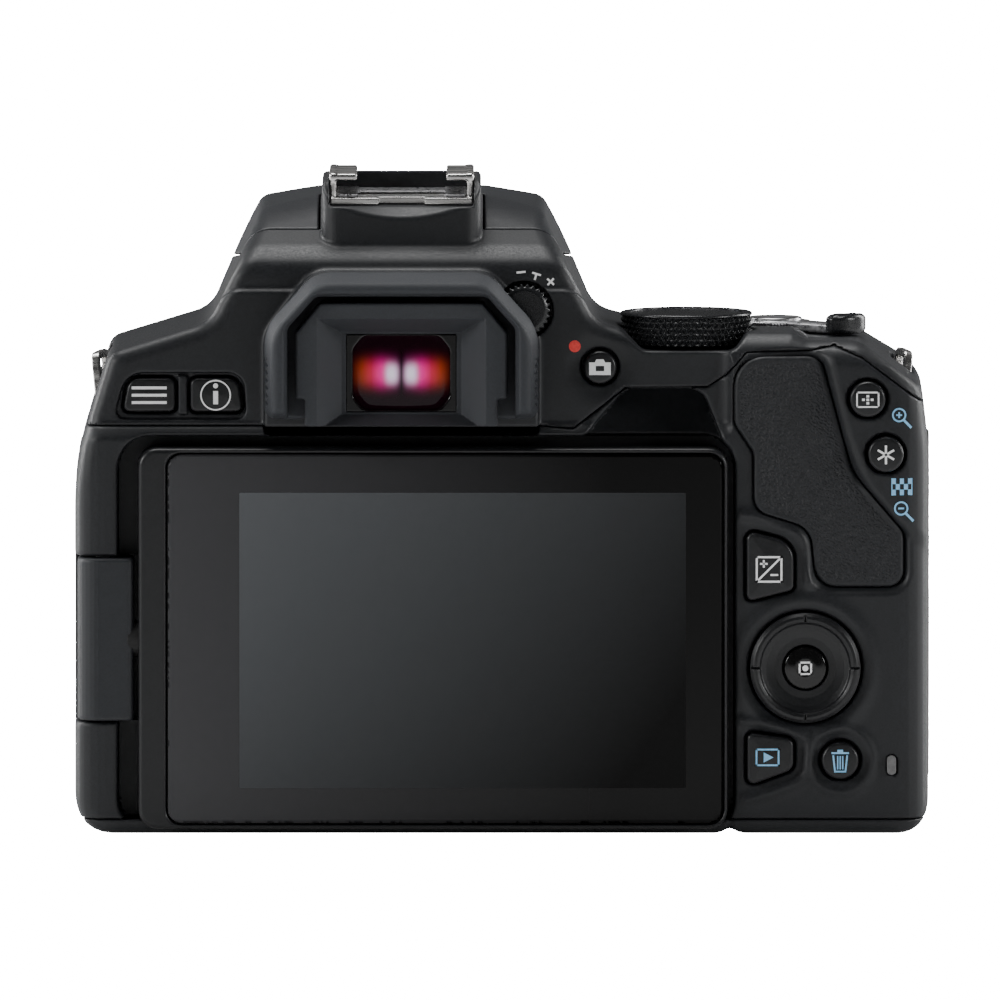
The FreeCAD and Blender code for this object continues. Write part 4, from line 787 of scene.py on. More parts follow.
def lever_knob_field(x, y, z):
    u, v = lever_frame(x, y)
    u = u - LEVER_LENGTH
    plan = np.hypot(u / 2.2, v / 3.5) * 2.5 - 2.5
    body = extrude(plan, z, 70.95, 73.85, 0.8)
    crest = 0.22 * (0.5 + 0.5 * np.cos(u * 5.2)) * smoothstep(z, 73.2, 73.8)
    return body + crest * 0.6


def sloping_key(at, radius, proud, depth, dish):
    def field(x, y, z):
        across, along, out = slope_frame(x, y, z, *at)
        r = np.hypot(across, along)
        key = extrude(r - radius, out, -depth, proud, 0.5)
        if dish:
            hollow = np.sqrt(r ** 2 + (out - proud - dish + 0.45) ** 2) - dish
            key = carve(key, hollow, 0.3)
        return key
    top = slope_z(at[1])
    return field, (at[0] - radius, at[1] - radius - 2, top - depth - 2), (at[0] + radius, at[1] + radius + 2,
        top + 4)


def dioptre_field(x, y, z):
    px, pz = x - DIOPTRE[0], z - DIOPTRE[1]
    r, turn = np.hypot(px, pz), np.arctan2(pz, px)
    ribs = 0.42 * (0.5 - 0.5 * np.cos(turn * 26)) * smoothstep(r, 2.4, 3.0)
    return extrude(r - 3.75 + ribs * 0.9, y, -19.4 + 0.4 * smoothstep(r, 2.8, 3.7), -16.5, 0.2)


def release_field(x, y, z):
    return crowned(RELEASE(x, z), y * -1, -FRONT_Y - 1.6, -19.0, 0.7, 0.5)


# ------------------------------------------------------------------ screen
PANEL_SHAPE = Outline(rect(*PANEL, 2.7))
WINDOW = Outline(rect(-33.5, 46.0, 1.7, 54.7, 2.0))


def panel_field(x, y, z):
    """Shell of the screen panel: a rounded frame with a thin raised lip round the glass."""
    form = extrude(PANEL_SHAPE(x, z), y, PANEL_Y[0], PANEL_Y[1], 0.75)
    return carve(form, extrude(WINDOW(x, z) - 0.22, y, -40, PANEL_Y[1] - 1.0), 0.3)


def glass_field(x, y, z):
    return extrude(WINDOW(x, z), y, PANEL_Y[0] + 0.12, PANEL_Y[0] + 1.15, 0.2)


def hinge_field(x, y, z):
    """Block of the swinging hinge, with a rolled outer edge and a shallow step near the panel."""
    return extrude(HINGE_PLAN(x, y), z, *HINGE_Z, 0.55)


def pivot_field(x, y, z):
    """Stub that the panel tilts on."""
    x1 = HINGE_X[1]
    stub = extrude(disc(y, z, (-18.5, sum(HINGE_Z) / 2), 2.6), x, x1 - 1.0, x1 + 3.4, 0.2)
    return carve(stub, np.maximum(disc(y, z, (-18.5, sum(HINGE_Z) / 2), 1.2), x1 + 2.6 - x), 0.1)


HINGE_PLAN = Outline(rounded([(HINGE_X[0], HINGE_Y[0], 3.2), (-43.4, HINGE_Y[0] - 0.05, 1.5),
                              (HINGE_X[1], HINGE_Y[0], 0.9),
                              (HINGE_X[1], HINGE_Y[1], 1.6), (HINGE_X[0], HINGE_Y[1], 1.6)]))


# ------------------------------------------------------------------ eyecup
HOOD_OUT = Outline(rounded([(-19.7, 59.8, 1.8), (19.7, 59.8, 1.8), (19.7, 73.0, 6.8), (12.4, 81.0, 5.4),
                            (-12.4, 81.0, 5.4), (-19.7, 73.0, 6.8)]))
HOOD_IN = Outline(rounded([(-16.3, 45.0, 0.5), (16.3, 45.0, 0.5), (16.3, 73.2, 1.6), (12.2, 77.8, 1.6),
                           (-12.2, 77.8, 1.6), (-16.3, 73.2, 1.6)]), margin=8.0)
PLATE = Outline(rounded([(-13.8, 59.2, 0.4), (13.8, 59.2, 0.4), (13.8, 63.2, 0.3), (15.1, 63.2, 0.3),
                         (15.1, 72.6, 0.6),
                         (11.6, 76.8, 0.6), (-11.6, 76.8, 0.6), (-15.1, 72.6, 0.6), (-15.1, 63.2, 0.3),
                         (-13.8, 63.2, 0.3)]))


def eyecup_field(x, y, z):
    """Rubber hood round three sides, and a plate with a funnel round the window."""
    out = HOOD_OUT(x, z)
    taper = 0.16 * np.clip(-22.0 - y, 0, 9)
    hood = extrude(out + taper, y, -29.6, -21.7, 1.0)
    hood = carve(hood, np.maximum(HOOD_IN(x, z) - 0.25 * np.clip(-27.5 - y, 0, 3), y + 23.4), 0.5)
    plate = extrude(PLATE(x, z), y, -28.0, -23.0, 0.35)
    form = np.minimum(hood, plate)
    inward = np.clip(-y - 24.4, 0, 4)
    side = np.maximum(np.abs(x) - 8.6 - 0.95 * inward, np.abs(z - EYE_Z) - 5.9 - 0.6 * inward)
    funnel = np.maximum(side * 0.8, y + 24.4)
    hole = np.maximum(np.abs(x) - 7.9, np.abs(z - EYE_Z) - 5.6)
    ribs = block(x, y, z, (-30, -26.5, 61.6), (30, -22.4, 68.6))
    teeth = 0.35 * (0.5 + 0.5 * np.cos(z * 2 * math.pi / 1.1))
    form = carve(form, np.maximum(19.0 - np.abs(x) + teeth, ribs), 0.1)
    return np.maximum(np.maximum(form, -funnel), -hole) * 0.9


def eye_lens_field(x, y, z):
    cut = extrude(EYE_LENS(x, z), y, -23.2, -17.5, 0.2)
    dome = np.sqrt(x ** 2 + (y - 6.8) ** 2 + (z - EYE_Z) ** 2) - 30.0
    return np.maximum(cut, dome)


def eye_rim_field(x, y, z):
    """Dark mask round the rear lens, at the foot of the eyecup's funnel."""
    plate = extrude(np.maximum(np.abs(x) - 7.85, np.abs(z - EYE_Z) - 5.55), y, -24.2, -21.8, 0.1)
    return carve(plate, EYE_LENS(x, z) - 0.05, 0.25)


EYE_LENS = Outline(rounded([(-5.4, EYE_Z - 5.3), (5.4, EYE_Z - 5.3), (6.9, EYE_Z - 3.4), (6.9, EYE_Z + 3.4),
                            (5.4, EYE_Z + 5.3), (-5.4, EYE_Z + 5.3), (-6.9, EYE_Z + 3.4),
                            (-6.9, EYE_Z - 3.4)], 1.6))


# ------------------------------------------------------------------ accessory shoe, grip and mount
def shoe_field(x, y, z):
    """Bent metal shoe with lips over the slot and a notched floor."""
    ax = np.abs(x)
    floor = block(ax, y, z, (-1, -11.6, 89.8), (10.2, 8.4, 90.8), 0.15)
    floor = carve(floor, np.maximum(ax - 3.3, y + 9.4), 0.1)
    side = block(ax, y, z, (9.4, -11.0, 89.8), (10.25, 8.4, 94.2), 0.3)
    lip = block(ax, y, z, (6.4, -11.0, 93.3), (10.25, 8.4, 94.2), 0.3)
    return join(join(side, lip, 0.5), floor, 0.3)


def shoe_spring_field(x, y, z):
    ax = np.abs(x)
    leaf = block(ax, y, z, (-1, -3.0, 90.9), (9.1, 4.5, 91.2), 0.08)
    arm = block(ax, y, z, (6.2, -11.0, 90.9), (9.2, 6.5, 91.25), 0.1)
    return np.minimum(leaf, arm)


def port_flap(outline, inward, groove_y, groove_z):
    """Rubber flap over the sockets of one side, following the body, with a groove for a fingernail."""
    def field(x, y, z):
        flap = meet(slab(body_form(x, y, z), -1.0, 0.12), outline(y, z), 0.3)
        flap = np.maximum(flap, inward(x) - 3.0)
        groove = np.maximum(slab(y, *groove_y), slab(z, *groove_z))
        return carve(flap, groove + np.maximum(0, inward(x) - 0.4), 0.15)
    return field


def grip_skin_field(x, y, z):
    """Rubber skin of the grip, with a pebbled face."""
    s = x + y
    grain = np.sin(3.3 * s + 1.3 * np.sin(z * 2.9)) * np.sin(3.6 * z + 1.2 * np.sin(2.6 * s + 2))
    edge = body_form(x, y, z)
    zone = np.maximum(slab(z, 6.0, 56.0), np.maximum(47.2 - x, SPLIT_Y + 11.2 - y))
    sheet = meet(slab(edge, -0.3, 0.35 + 0.06 * grain), zone, 0.4)
    return sheet


# ------------------------------------------------------------------ materials
class Nodes:
    """Short ways to add nodes to the tree of a material or a world, and to link them."""

    def __init__(self, owner):
        owner.use_nodes = True
        self.tree = owner.node_tree

    def feed(self, socket, value):
        if isinstance(value, bpy.types.NodeSocket):
            self.tree.links.new(value, socket)
        else:
            socket.default_value = value

    def add(self, kind, **inputs):
        """A new node; an underscore in an input's name stands for a space."""
        node = self.tree.nodes.new("ShaderNode" + kind)
        for name, value in inputs.items():
            self.feed(node.inputs[name.replace("_", " ")], value)
        return node

    def math(self, operation, *values, kind="Math"):
        node = self.add(kind)
        node.operation = operation
        for socket, value in zip(node.inputs, values):
            self.feed(socket, value)
        return node

    def ramp(self, factor, *stops):
        """A colour ramp through (position, colour) stops."""
        node = self.add("ValToRGB", Fac=factor)
        elements = node.color_ramp.elements
        for element, (spot, colour) in zip(elements, (stops[0], stops[-1])):
            element.position, element.color = spot, (*colour, 1)
        for spot, colour in stops[1:-1]:
            elements.new(spot).color = (*colour, 1)
        return node.outputs["Color"]

    def shade(self, **inputs):
        for name, value in inputs.items():
            self.feed(self.tree.nodes["Principled BSDF"].inputs[name.replace("_", " ")], value)


def finish_of(name, dark, light, rough, scale, bump=0.15, metallic=0.0, bump_mm=0.03, kind="noise",
              ior=1.45):
    """A procedural finish: a fine pattern varies colour and roughness, and gives a slight relief."""
    mat = bpy.data.materials.new(name)
    nodes = Nodes(mat)
    where = nodes.add("TexCoord").outputs["Object"]
    if kind == "brushed":
        where = nodes.add("Mapping", Vector=where, Scale=(0.06, 1.0, 1.0)).outputs["Vector"]
    low, high = 0.35, 0.65
    if kind == "pebble":
        low, high = 0.02, 0.3
        pattern = nodes.add("TexVoronoi")
        pattern.feature = "DISTANCE_TO_EDGE"
        value = pattern.outputs["Distance"]
    else:
        pattern = nodes.add("TexNoise", Detail=3.0)
        value = pattern.outputs[0]
    nodes.feed(pattern.inputs["Vector"], where)
    nodes.feed(pattern.inputs["Scale"], scale)
    spread = nodes.add("MapRange", Value=value, From_Min=low, From_Max=high, To_Min=rough[0],
                       To_Max=rough[1])
    bumps = nodes.add("Bump", Strength=bump, Distance=bump_mm * MM, Height=value)
    nodes.shade(Base_Color=nodes.ramp(value, (low, dark), (high, light)), Roughness=spread.outputs["Result"],
                Normal=bumps.outputs["Normal"], Metallic=metallic, IOR=ior)
    return mat


def grey(value, blue=0.0):
    return (value, value * (1 + 0.35 * blue), value * (1 + blue))


BODY = finish_of("body_plastic", grey(0.0075, 0.3), grey(0.0125, 0.3), (0.42, 0.56), 3600, 0.5, bump_mm=0.02)
FLASH = finish_of("flash_plastic", grey(0.011, 0.3), grey(0.017, 0.3), (0.42, 0.54), 3600, 0.5, bump_mm=0.02)
# The hinge plastic is lighter and bluer than the body plastic: a painted highlight for the light that the
# hinge block's face catches.
HINGE = finish_of("hinge_plastic", grey(0.011, 0.35), grey(0.016, 0.35), (0.45, 0.6), 3600, 0.4,
                  bump_mm=0.02)
KEY = finish_of("key_plastic", grey(0.006, 0.2), grey(0.009, 0.2), (0.32, 0.42), 3000, 0.2, bump_mm=0.01)
RING = finish_of("ring_plastic", grey(0.006, 0.2), grey(0.009, 0.2), (0.34, 0.44), 3200, 0.25, bump_mm=0.01)
GLOSS = finish_of("gloss_plastic", grey(0.003), grey(0.004), (0.12, 0.18), 900, 0.02, bump_mm=0.005)
PANEL_MAT = finish_of("panel_plastic", grey(0.006, 0.2), grey(0.009, 0.2), (0.34, 0.44), 3600, 0.3,
                      bump_mm=0.01)
RUBBER = finish_of("eyecup_rubber", grey(0.02, 0.3), grey(0.028, 0.3), (0.62, 0.75), 3800, 0.5, bump_mm=0.02)
LEATHER = finish_of("grip_rubber", grey(0.008, 0.3), grey(0.014, 0.3), (0.5, 0.68), 1500, 0.8, bump_mm=0.06,
                    kind="pebble")
DIAL = finish_of("dial_plastic", grey(0.009, 0.2), grey(0.013, 0.2), (0.24, 0.32), 3000, 0.2, bump_mm=0.01)
COVER_RUBBER = finish_of("cover_rubber", grey(0.009, 0.2), grey(0.013, 0.2), (0.55, 0.7), 3000, 0.4,
                         bump_mm=0.02)
SILVER = finish_of("lever_metal", (0.36, 0.36, 0.37), (0.52, 0.52, 0.53), (0.24, 0.36), 1600, 0.15, 1.0,
                   0.01, "brushed")
SHOE = finish_of("shoe_metal", (0.62, 0.61, 0.6), (0.8, 0.79, 0.77), (0.2, 0.32), 1200, 0.1, 1.0, 0.01,
                 "brushed")
MOUNT = finish_of("mount_metal", (0.5, 0.5, 0.5), (0.66, 0.66, 0.65), (0.2, 0.34), 900, 0.1, 1.0, 0.01)
STEEL = finish_of("screw_steel", (0.3, 0.3, 0.31), (0.45, 0.45, 0.46), (0.25, 0.4), 1500, 0.15, 1.0, 0.01)
BLACK = finish_of("black_plastic", grey(0.004), grey(0.007), (0.6, 0.75), 2500, 0.3, bump_mm=0.02)
BLACK_METAL = finish_of("black_metal", grey(0.01), grey(0.02), (0.4, 0.55), 1800, 0.2, 0.7, 0.01)
BOARD = finish_of("circuit_board", (0.006, 0.05, 0.02), (0.012, 0.09, 0.035), (0.3, 0.5), 700, 0.3,
                  bump_mm=0.04)
SENSOR = finish_of("sensor", (0.012, 0.02, 0.03), (0.03, 0.02, 0.05), (0.05, 0.12), 120, 0.02, bump_mm=0.01)
MIRROR = finish_of("mirror", (0.85, 0.86, 0.87), (0.9, 0.9, 0.91), (0.02, 0.04), 400, 0.01, 1.0, 0.005)
FOAM_GREY = finish_of("grey_plastic", grey(0.12), grey(0.16), (0.45, 0.6), 1500, 0.2, bump_mm=0.02)
WHITE_INK = finish_of("white_ink", (0.88, 0.88, 0.89), (0.95, 0.95, 0.95), (0.5, 0.6), 3000, 0.1,
                      bump_mm=0.01)
BLUE_INK = finish_of("blue_ink", (0.22, 0.56, 0.9), (0.3, 0.64, 0.95), (0.5, 0.6), 3000, 0.1, bump_mm=0.01)
RED_INK = finish_of("red_ink", (0.7, 0.035, 0.03), (0.82, 0.05, 0.04), (0.4, 0.5), 3000, 0.1, bump_mm=0.01)
BATTERY = finish_of("battery_plastic", grey(0.03), grey(0.045), (0.4, 0.55), 1500, 0.2, bump_mm=0.02)


LENS_STOPS = (
    (0.0, (0.02, 0.0, 0.012)),
    (0.12, (0.35, 0.01, 0.16)),
    (0.42, (0.75, 0.015, 0.25)),
    (0.62, (0.5, 0.02, 0.06)),
    (0.82, (0.42, 0.045, 0.01)),
    (1.0, (0.25, 0.03, 0.005)),
)
LENS_HALF = 6.9


def lens_material():
    """Coated eyepiece glass: two pale violet reflections in a magenta and orange glow, painted into its
    colour and given off as emission.
    """
    mat = bpy.data.materials.new("eyepiece_glass")
    nodes = Nodes(mat)
    split = nodes.add("SeparateXYZ", Vector=nodes.add("TexCoord").outputs["Object"])

    def value(operation, *values):
        return nodes.math(operation, *values).outputs[0]

    x = value("MULTIPLY", split.outputs["X"], 1 / MM)
    z = value("SUBTRACT", value("MULTIPLY", split.outputs["Z"], 1 / MM), EYE_Z)
    across = value("ABSOLUTE", x)

    def falloff(dx, dz, wx, wz):
        powers = [value("POWER", value("ABSOLUTE", value("DIVIDE", value("SUBTRACT", t, d), w)), 2.6)
                  for t, d, w in ((across, dx, wx), (z, dz, wz))]
        return value("EXPONENT", value("MULTIPLY", value("ADD", *powers), -1.0))

    def blend(factor, a, b):
        node = nodes.add("Mix")
        node.data_type = "RGBA"
        for index, part in ((0, factor), (6, a), (7, b)):
            nodes.feed(node.inputs[index], part)
        return node.outputs[2]

    # Painted reflections of the coating: a magenta and orange glow at two spots, dark round them, with two
    # pale violet highlights.
    glow = nodes.ramp(value("DIVIDE", across, LENS_HALF), *LENS_STOPS)
    tint = blend(falloff(3.0, -0.1, 3.4, 1.9), (0.006, 0.001, 0.003, 1), glow)
    bright = blend(falloff(1.4, -0.2, 0.9, 1.35), tint, (0.72, 0.62, 0.78, 1))
    # The glass gives off its painted colour as emission, so it glows though it is no lamp.
    nodes.shade(Base_Color=bright, Emission_Color=bright, Emission_Strength=0.6, Roughness=0.08,
                Specular_IOR_Level=0.15)
    return mat


SCREEN = finish_of("screen_glass", grey(0.0025), grey(0.004), (0.08, 0.14), 14, 0.0, ior=1.25)
LENS = lens_material()
LAMP_WINDOW = finish_of("flash_window", (0.6, 0.62, 0.63), (0.8, 0.82, 0.83), (0.08, 0.2), 800, 0.4,
                        bump_mm=0.08)


# ------------------------------------------------------------------ pieces in place of CAD nodes
def put(name, field, low, high, body, material, step=0.35, node=None, slot=None):
    obj = solid(name, field, low, high, step)
    obj.data.materials.append(material)
    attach(obj, body)
    if node:
        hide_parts(node)
    return obj


ROOT = "camera_body"
for part, (part_field, low, high) in COVERS.items():
    flash = part == "flash_cover"
    part_slot = {"flash_cover": "flash_plastic", "base_cover": "base_plastic"}.get(part, "body_plastic")
    put(part + "_form", part_field, low, high, "flash" if flash else ROOT, FLASH if flash else BODY, 0.36,
        part, part_slot)

ISLAND_FACE = REAR_Y - 0.7
ROUND_KEYS = {
    "af_point_button": (AF_POINT, 2.55, ISLAND_FACE),
    "ae_lock_button": (AE_LOCK, 2.55, ISLAND_FACE),
    "erase_button": (ERASE, 2.65, REAR_Y),
    "live_view_button": (LIVE_VIEW, 2.35, UPPER_Y),
}
for key, (centre, radius, face) in ROUND_KEYS.items():
    key_field, low, high = round_key(centre, radius, face)
    put(key + "_form", key_field, low, high, key, KEY, 0.18, key, "key_plastic")
for key, face in (("menu", UPPER_Y + 0.6), ("info", UPPER_Y + 0.6), ("exposure", REAR_Y),
                  ("playback", REAR_Y)):
    key_field, low, high = shaped_key(key, face)
    put(key + "_button_form", key_field, low, high, key + "_button", KEY, 0.18, key + "_button",
        "key_plastic")

# name, field, lower and upper corner of its box, mesh step, body, material, slot, node that it replaces
PIECES = [
    ("thumb_rest_form", thumb_field, (47, -22, 35), (72.5, -18.5, 69), 0.16,
     ROOT, LEATHER, "grip_rubber", "thumb_rest"),
    ("grip_skin", grip_skin_field, (47, 8, 5.8), (76, 40, 56.2), 0.3,
     ROOT, LEATHER, "grip_rubber", "grip_rubber"),
    ("cross_key_ring_form", cross_ring_field, (49.8, -21.7, 16), (65.8, -18.7, 32), 0.16,
     "cross_key_ring", RING, "ring_plastic", "cross_key_ring"),
    ("set_button_form", set_field, (54.7, -21.5, 20.9), (60.9, -17, 27.1), 0.14,
     "set_button", GLOSS, "key_plastic", "set_button"),
    ("mode_dial_form", mode_dial_field, (31.2, -17.6, 66), (50.4, 1.6, 74.9), 0.13,
     "mode_dial", DIAL, "dial_plastic", "mode_dial"),
    ("main_dial_form", main_dial_field, (58.8, 11.5, 57.4), (67.2, 24.5, 70.4), 0.2,
     "main_dial", DIAL, "dial_plastic", "main_dial"),
    ("power_lever_hub", lever_hub_field, (48.3, -2.3, 66.5), (58.9, 8.3, 72.8), 0.18,
     "power_lever", SILVER, "lever_plastic", "power_lever"),
    ("power_lever_arm", lever_arm_field, (53, -10, 70.9), (67, 5, 72.4), 0.18,
     "power_lever", SILVER, "lever_plastic", None),
    ("power_lever_knob", lever_knob_field, (59, -11.5, 70.9), (68.5, -2, 74.0), 0.16,
     "power_lever", DIAL, "lever_plastic", None),
    ("dioptre_dial_form", dioptre_field, (13.2, -19.5, 70.8), (22, -16.5, 79.6), 0.15,
     "dioptre_dial", DIAL, "dial_plastic", "dioptre_dial"),
    ("lens_release_form", release_field, (-42.4, 19, 25), (-36.4, 25.7, 37), 0.2,
     "lens_release_button", KEY, "key_plastic", "lens_release_button"),
    ("screen_panel_form", panel_field, (PANEL[0], -21.5, PANEL[2]), (PANEL[1], -15.5, PANEL[3]), 0.3,
     "screen", PANEL_MAT, "panel_plastic", "screen_panel_shell"),
    ("screen_glass_form", glass_field, (-33.5, -21.4, 1.7), (46, -20.3, 54.7), 0.4,
     "screen", SCREEN, "screen_glass", "screen_glass"),
    ("screen_pivot", pivot_field, (-39.5, -21.2, 25.3), (-34.8, -15.8, 30.8), 0.18,
     "screen", BLACK, "hinge_plastic", None),
    ("screen_hinge_form", hinge_field, (LEFT_X, -21.1, 16.4), (-34.8, -12.4, 39.7), 0.2,
     "screen", HINGE, "hinge_plastic", "screen_hinge_block"),
    ("eyecup_form", eyecup_field, (-19.8, -29.8, 57.3), (19.8, -21.6, 80.8), 0.22,
     "eyecup", RUBBER, "eyecup_rubber", "eyecup"),
    ("eyepiece_lens_form", eye_lens_field, (-7, -23.3, 61), (7, -17.4, 72.2), 0.2,
     ROOT, LENS, "eyepiece_glass", "eyepiece_lens"),
    ("eyepiece_mask", eye_rim_field, (-7.9, -24.3, 61), (7.9, -21.8, 72.2), 0.16,
     ROOT, GLOSS, "black_plastic", None),
    ("accessory_shoe_form", shoe_field, (-10.3, -11.7, 89.7), (10.3, 8.5, 94.2), 0.16,
     ROOT, SHOE, "shoe_metal", "accessory_shoe"),
    ("left_port_flap", port_flap(PORT_LEFT, lambda x: x - LEFT_X, (8.6, 9.2), (36.0, 52.0)),
     (LEFT_X - 1, -1.6, 32.9), (LEFT_X + 3, 11.1, 55.1), 0.2,
     "left_port_cover", COVER_RUBBER, "cover_rubber", "left_port_cover"),
    ("right_port_flap", port_flap(PORT_RIGHT, lambda x: RIGHT_X - x, (-11.9, -11.3), (20.0, 32.4)),
     (RIGHT_X - 3, -13.7, 17.5), (RIGHT_X + 1, -3.5, 34.9), 0.2,
     "right_port_cover", COVER_RUBBER, "cover_rubber", "right_port_cover"),
    ("shoe_spring_form", shoe_spring_field, (-9.3, -11, 90.8), (9.3, 6.6, 91.3), 0.12,
     ROOT, STEEL, "spring_steel", "shoe_spring"),
]
for key, (at, radius, proud, depth, dish, material, part_slot) in {
    "shutter_button": (SHUTTER_AT, 4.6, 1.9, 4.0, 22.0, GLOSS, "shutter_metal"),
    "iso_button": (ISO_AT, 2.1, 0.9, 3.2, 0.0, KEY, "key_plastic"),
}.items():
    key_field, low, high = sloping_key(at, radius, proud, depth, dish)
    PIECES.append((key + "_form", key_field, low, high, 0.2, key, material, part_slot, key))
for name, piece_field, low, high, step, body, material, part_slot, node in PIECES:
    put(name, piece_field, low, high, body, material, step, node, part_slot)

# ------------------------------------------------------------------ marks, lamps and other small pieces
def ring(cx, cz, inner, outer, count=28):
    """An annulus as a run of four-sided strokes."""
    turns = [2 * math.pi * i / count for i in range(count + 1)]
    spot = [[(cx + r * math.cos(t), cz + r * math.sin(t)) for t in turns] for r in (inner, outer)]
    return [[spot[0][i], spot[1][i], spot[1][i + 1], spot[0][i + 1]] for i in range(count)]


def round_spot(cx, cz, radius, count=24):
    return [[(cx + radius * math.cos(2 * math.pi * i / count),
              cz + radius * math.sin(2 * math.pi * i / count))
             for i in range(count)]]


def bar(ax, az, bx, bz, width):
    """A straight stroke between two points."""
    length = math.hypot(bx - ax, bz - az)
    nx, nz = -(bz - az) / length * width / 2, (bx - ax) / length * width / 2
    return [[(ax + nx, az + nz), (bx + nx, bz + nz), (bx - nx, bz - nz), (ax - nx, az - nz)]]


def panel_box(x0, x1, z0, z1):
    return [[(x0, z0), (x1, z0), (x1, z1), (x0, z1)]]


def frame_box(x0, x1, z0, z1, width):
    return (panel_box(x0, x1, z1 - width, z1) + panel_box(x0, x1, z0, z0 + width)
            + panel_box(x0, x0 + width, z0, z1) + panel_box(x1 - width, x1, z0, z1))


def rear_surface(points):
    """How far back the rear of the body lies at some (x, z) points."""
    points = np.array(points, float)
    low, high = np.full(len(points), -26.0), np.full(len(points), -8.0)
    for _ in range(18):
        middle = (low + high) / 2
        inside = body_form(points[:, 0], middle, points[:, 1]) < 0
        low, high = np.where(inside, low, middle), np.where(inside, middle, high)
    return low


MARK_DEPTH = 0.25


def mark(name, at, strokes, face, body, material, thick=0.05):
    """A printed mark: flat strokes about a point, a hair proud of the face under them, with side walls."""
    vertices, faces = [], []
    for stroke in strokes:
        area = sum(a[0] * b[1] - b[0] * a[1] for a, b in zip(stroke, stroke[1:] + stroke[:1]))
        points = [(u + at[0], v + at[1]) for u, v in (stroke if area > 0 else stroke[::-1])]
        first, n = len(vertices), len(points)
        faces_at = rear_surface(points) if face is None else [face] * n
        for depth in (-thick, MARK_DEPTH):
            vertices += [(u, y + depth, v) for (u, v), y in zip(points, faces_at)]
        faces.append([first + i for i in range(n)])
        faces.append([first + n + i for i in reversed(range(n))])
        faces += [[first + i, first + n + i, first + n + (i + 1) % n, first + (i + 1) % n] for i in range(n)]
    mesh = bpy.data.meshes.new(name)
    mesh.from_pydata((np.array(vertices) * MM).tolist(), [], faces)
    mesh.materials.append(material)
    obj = bpy.data.objects.new(name, mesh)
    bpy.context.scene.collection.objects.link(obj)
    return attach(obj, body)


def magnifier(sign):
    """A small magnifier with a plus or a minus in its lens."""
    strokes = ring(0, 0, 0.78, 1.02) + bar(0.7, -0.75, 1.75, -1.85, 0.34) + bar(-0.42, 0, 0.42, 0, 0.24)
    return strokes + (bar(0, -0.42, 0, 0.42, 0.24) if sign > 0 else [])


def spokes(radius, degrees, width):
    """Straight strokes through a point, one for each direction."""
    ends = [(radius * math.cos(math.radians(t)), radius * math.sin(math.radians(t))) for t in degrees]
    return [stroke for u, v in ends for stroke in bar(-u, -v, u, v, width)]


def boxes(corners):
    return [box for corner in corners for box in panel_box(*corner)]


SHAPED_FACE = -0.8 + 0.01
ROUND_FACE = -0.9 + 0.03
menu_face, rear_face = UPPER_Y + 0.6 + SHAPED_FACE, REAR_Y + SHAPED_FACE
mark("menu_mark", (-36.1, 63.0), boxes((-2.5, 2.5, i * 1.05 - 0.2, i * 1.05 + 0.2) for i in (-1, 0, 1)),
     menu_face, "menu_button", WHITE_INK)
mark("info_mark", (-26.6, 63.0), round_spot(0, 1.35, 0.36) + panel_box(-0.35, 0.35, -1.3, 0.6)
     + ring(0, 0, 2.0, 2.2, 36), menu_face, "info_button", WHITE_INK)
mark("exposure_mark", (52.6, 38.2), frame_box(-1.9, 1.9, -1.9, 1.9, 0.28) + bar(-1.7, -1.7, 1.7, 1.7, 0.28)
     + bar(-1.3, 0.8, -0.2, 0.8, 0.28) + bar(-0.75, 0.25, -0.75, 1.35, 0.28) + bar(0.2, -0.8, 1.3, -0.8,
         0.28),
     rear_face, "exposure_button", WHITE_INK)
mark("playback_mark", (52.4, 11.2), frame_box(-1.7, 1.7, -1.25, 1.25, 0.24)
     + [[(-0.55, -0.72), (0.85, 0), (-0.55, 0.72)]], rear_face, "playback_button", BLUE_INK)
mark("erase_mark", ERASE, boxes([(-1.25, 1.25, 1.0, 1.25), (-0.4, 0.4, 1.25, 1.6),
                                 (-0.85, 0.85, -1.65, -1.42)]
                                + [(i - 0.09, i + 0.09, -1.2, 0.7) for i in (-0.36, 0, 0.36)])
     + bar(-1.0, 0.8, -0.75, -1.5, 0.24) + bar(1.0, 0.8, 0.75, -1.5, 0.24),
     REAR_Y + ROUND_FACE, "erase_button", BLUE_INK)
mark("af_mark", AF_POINT, frame_box(-1.65, 1.65, -1.15, 1.15, 0.22)
     + boxes((u - 0.2, u + 0.2, v - 0.17, v + 0.17)
             for u, v in ((0, 0), (-0.62, 0), (0.62, 0), (0, 0.5), (0, -0.5))),
     ISLAND_FACE + ROUND_FACE, "af_point_button", WHITE_INK)
mark("ae_mark", AE_LOCK, spokes(1.35, (90, 30, 150), 0.3), ISLAND_FACE + ROUND_FACE, "ae_lock_button",
     WHITE_INK)
mark("live_view_mark", LIVE_VIEW, boxes([(-1.55, -0.6, -1.05, 0.75), (0.6, 1.55, -1.05, 0.75),
                                         (-0.6, 0.6, -1.05, -0.5), (-0.6, 0.6, 0.25, 0.75)])
     + [[(-0.75, 0.75), (0.75, 0.75), (0.5, 1.2), (-0.5, 1.2)]],
     UPPER_Y + ROUND_FACE, "live_view_button", WHITE_INK)
mark("set_mark", CROSS, frame_box(-0.95, 0.95, -0.95, 0.95, 0.26) + round_spot(0, 0, 0.42),
     -21.3 - 0.02, "set_button", WHITE_INK)
mark("zoom_in_mark", (71.2, 60.3), magnifier(1), None, ROOT, BLUE_INK, 0.12)
mark("zoom_out_mark", (71.5, 46.9), magnifier(-1), None, ROOT, BLUE_INK, 0.12)
index_cells = [(i * 0.58 - 1.45, j * 0.8 - 1.2) for i in range(5) for j in range(3) if (i + j) % 2 == 0]
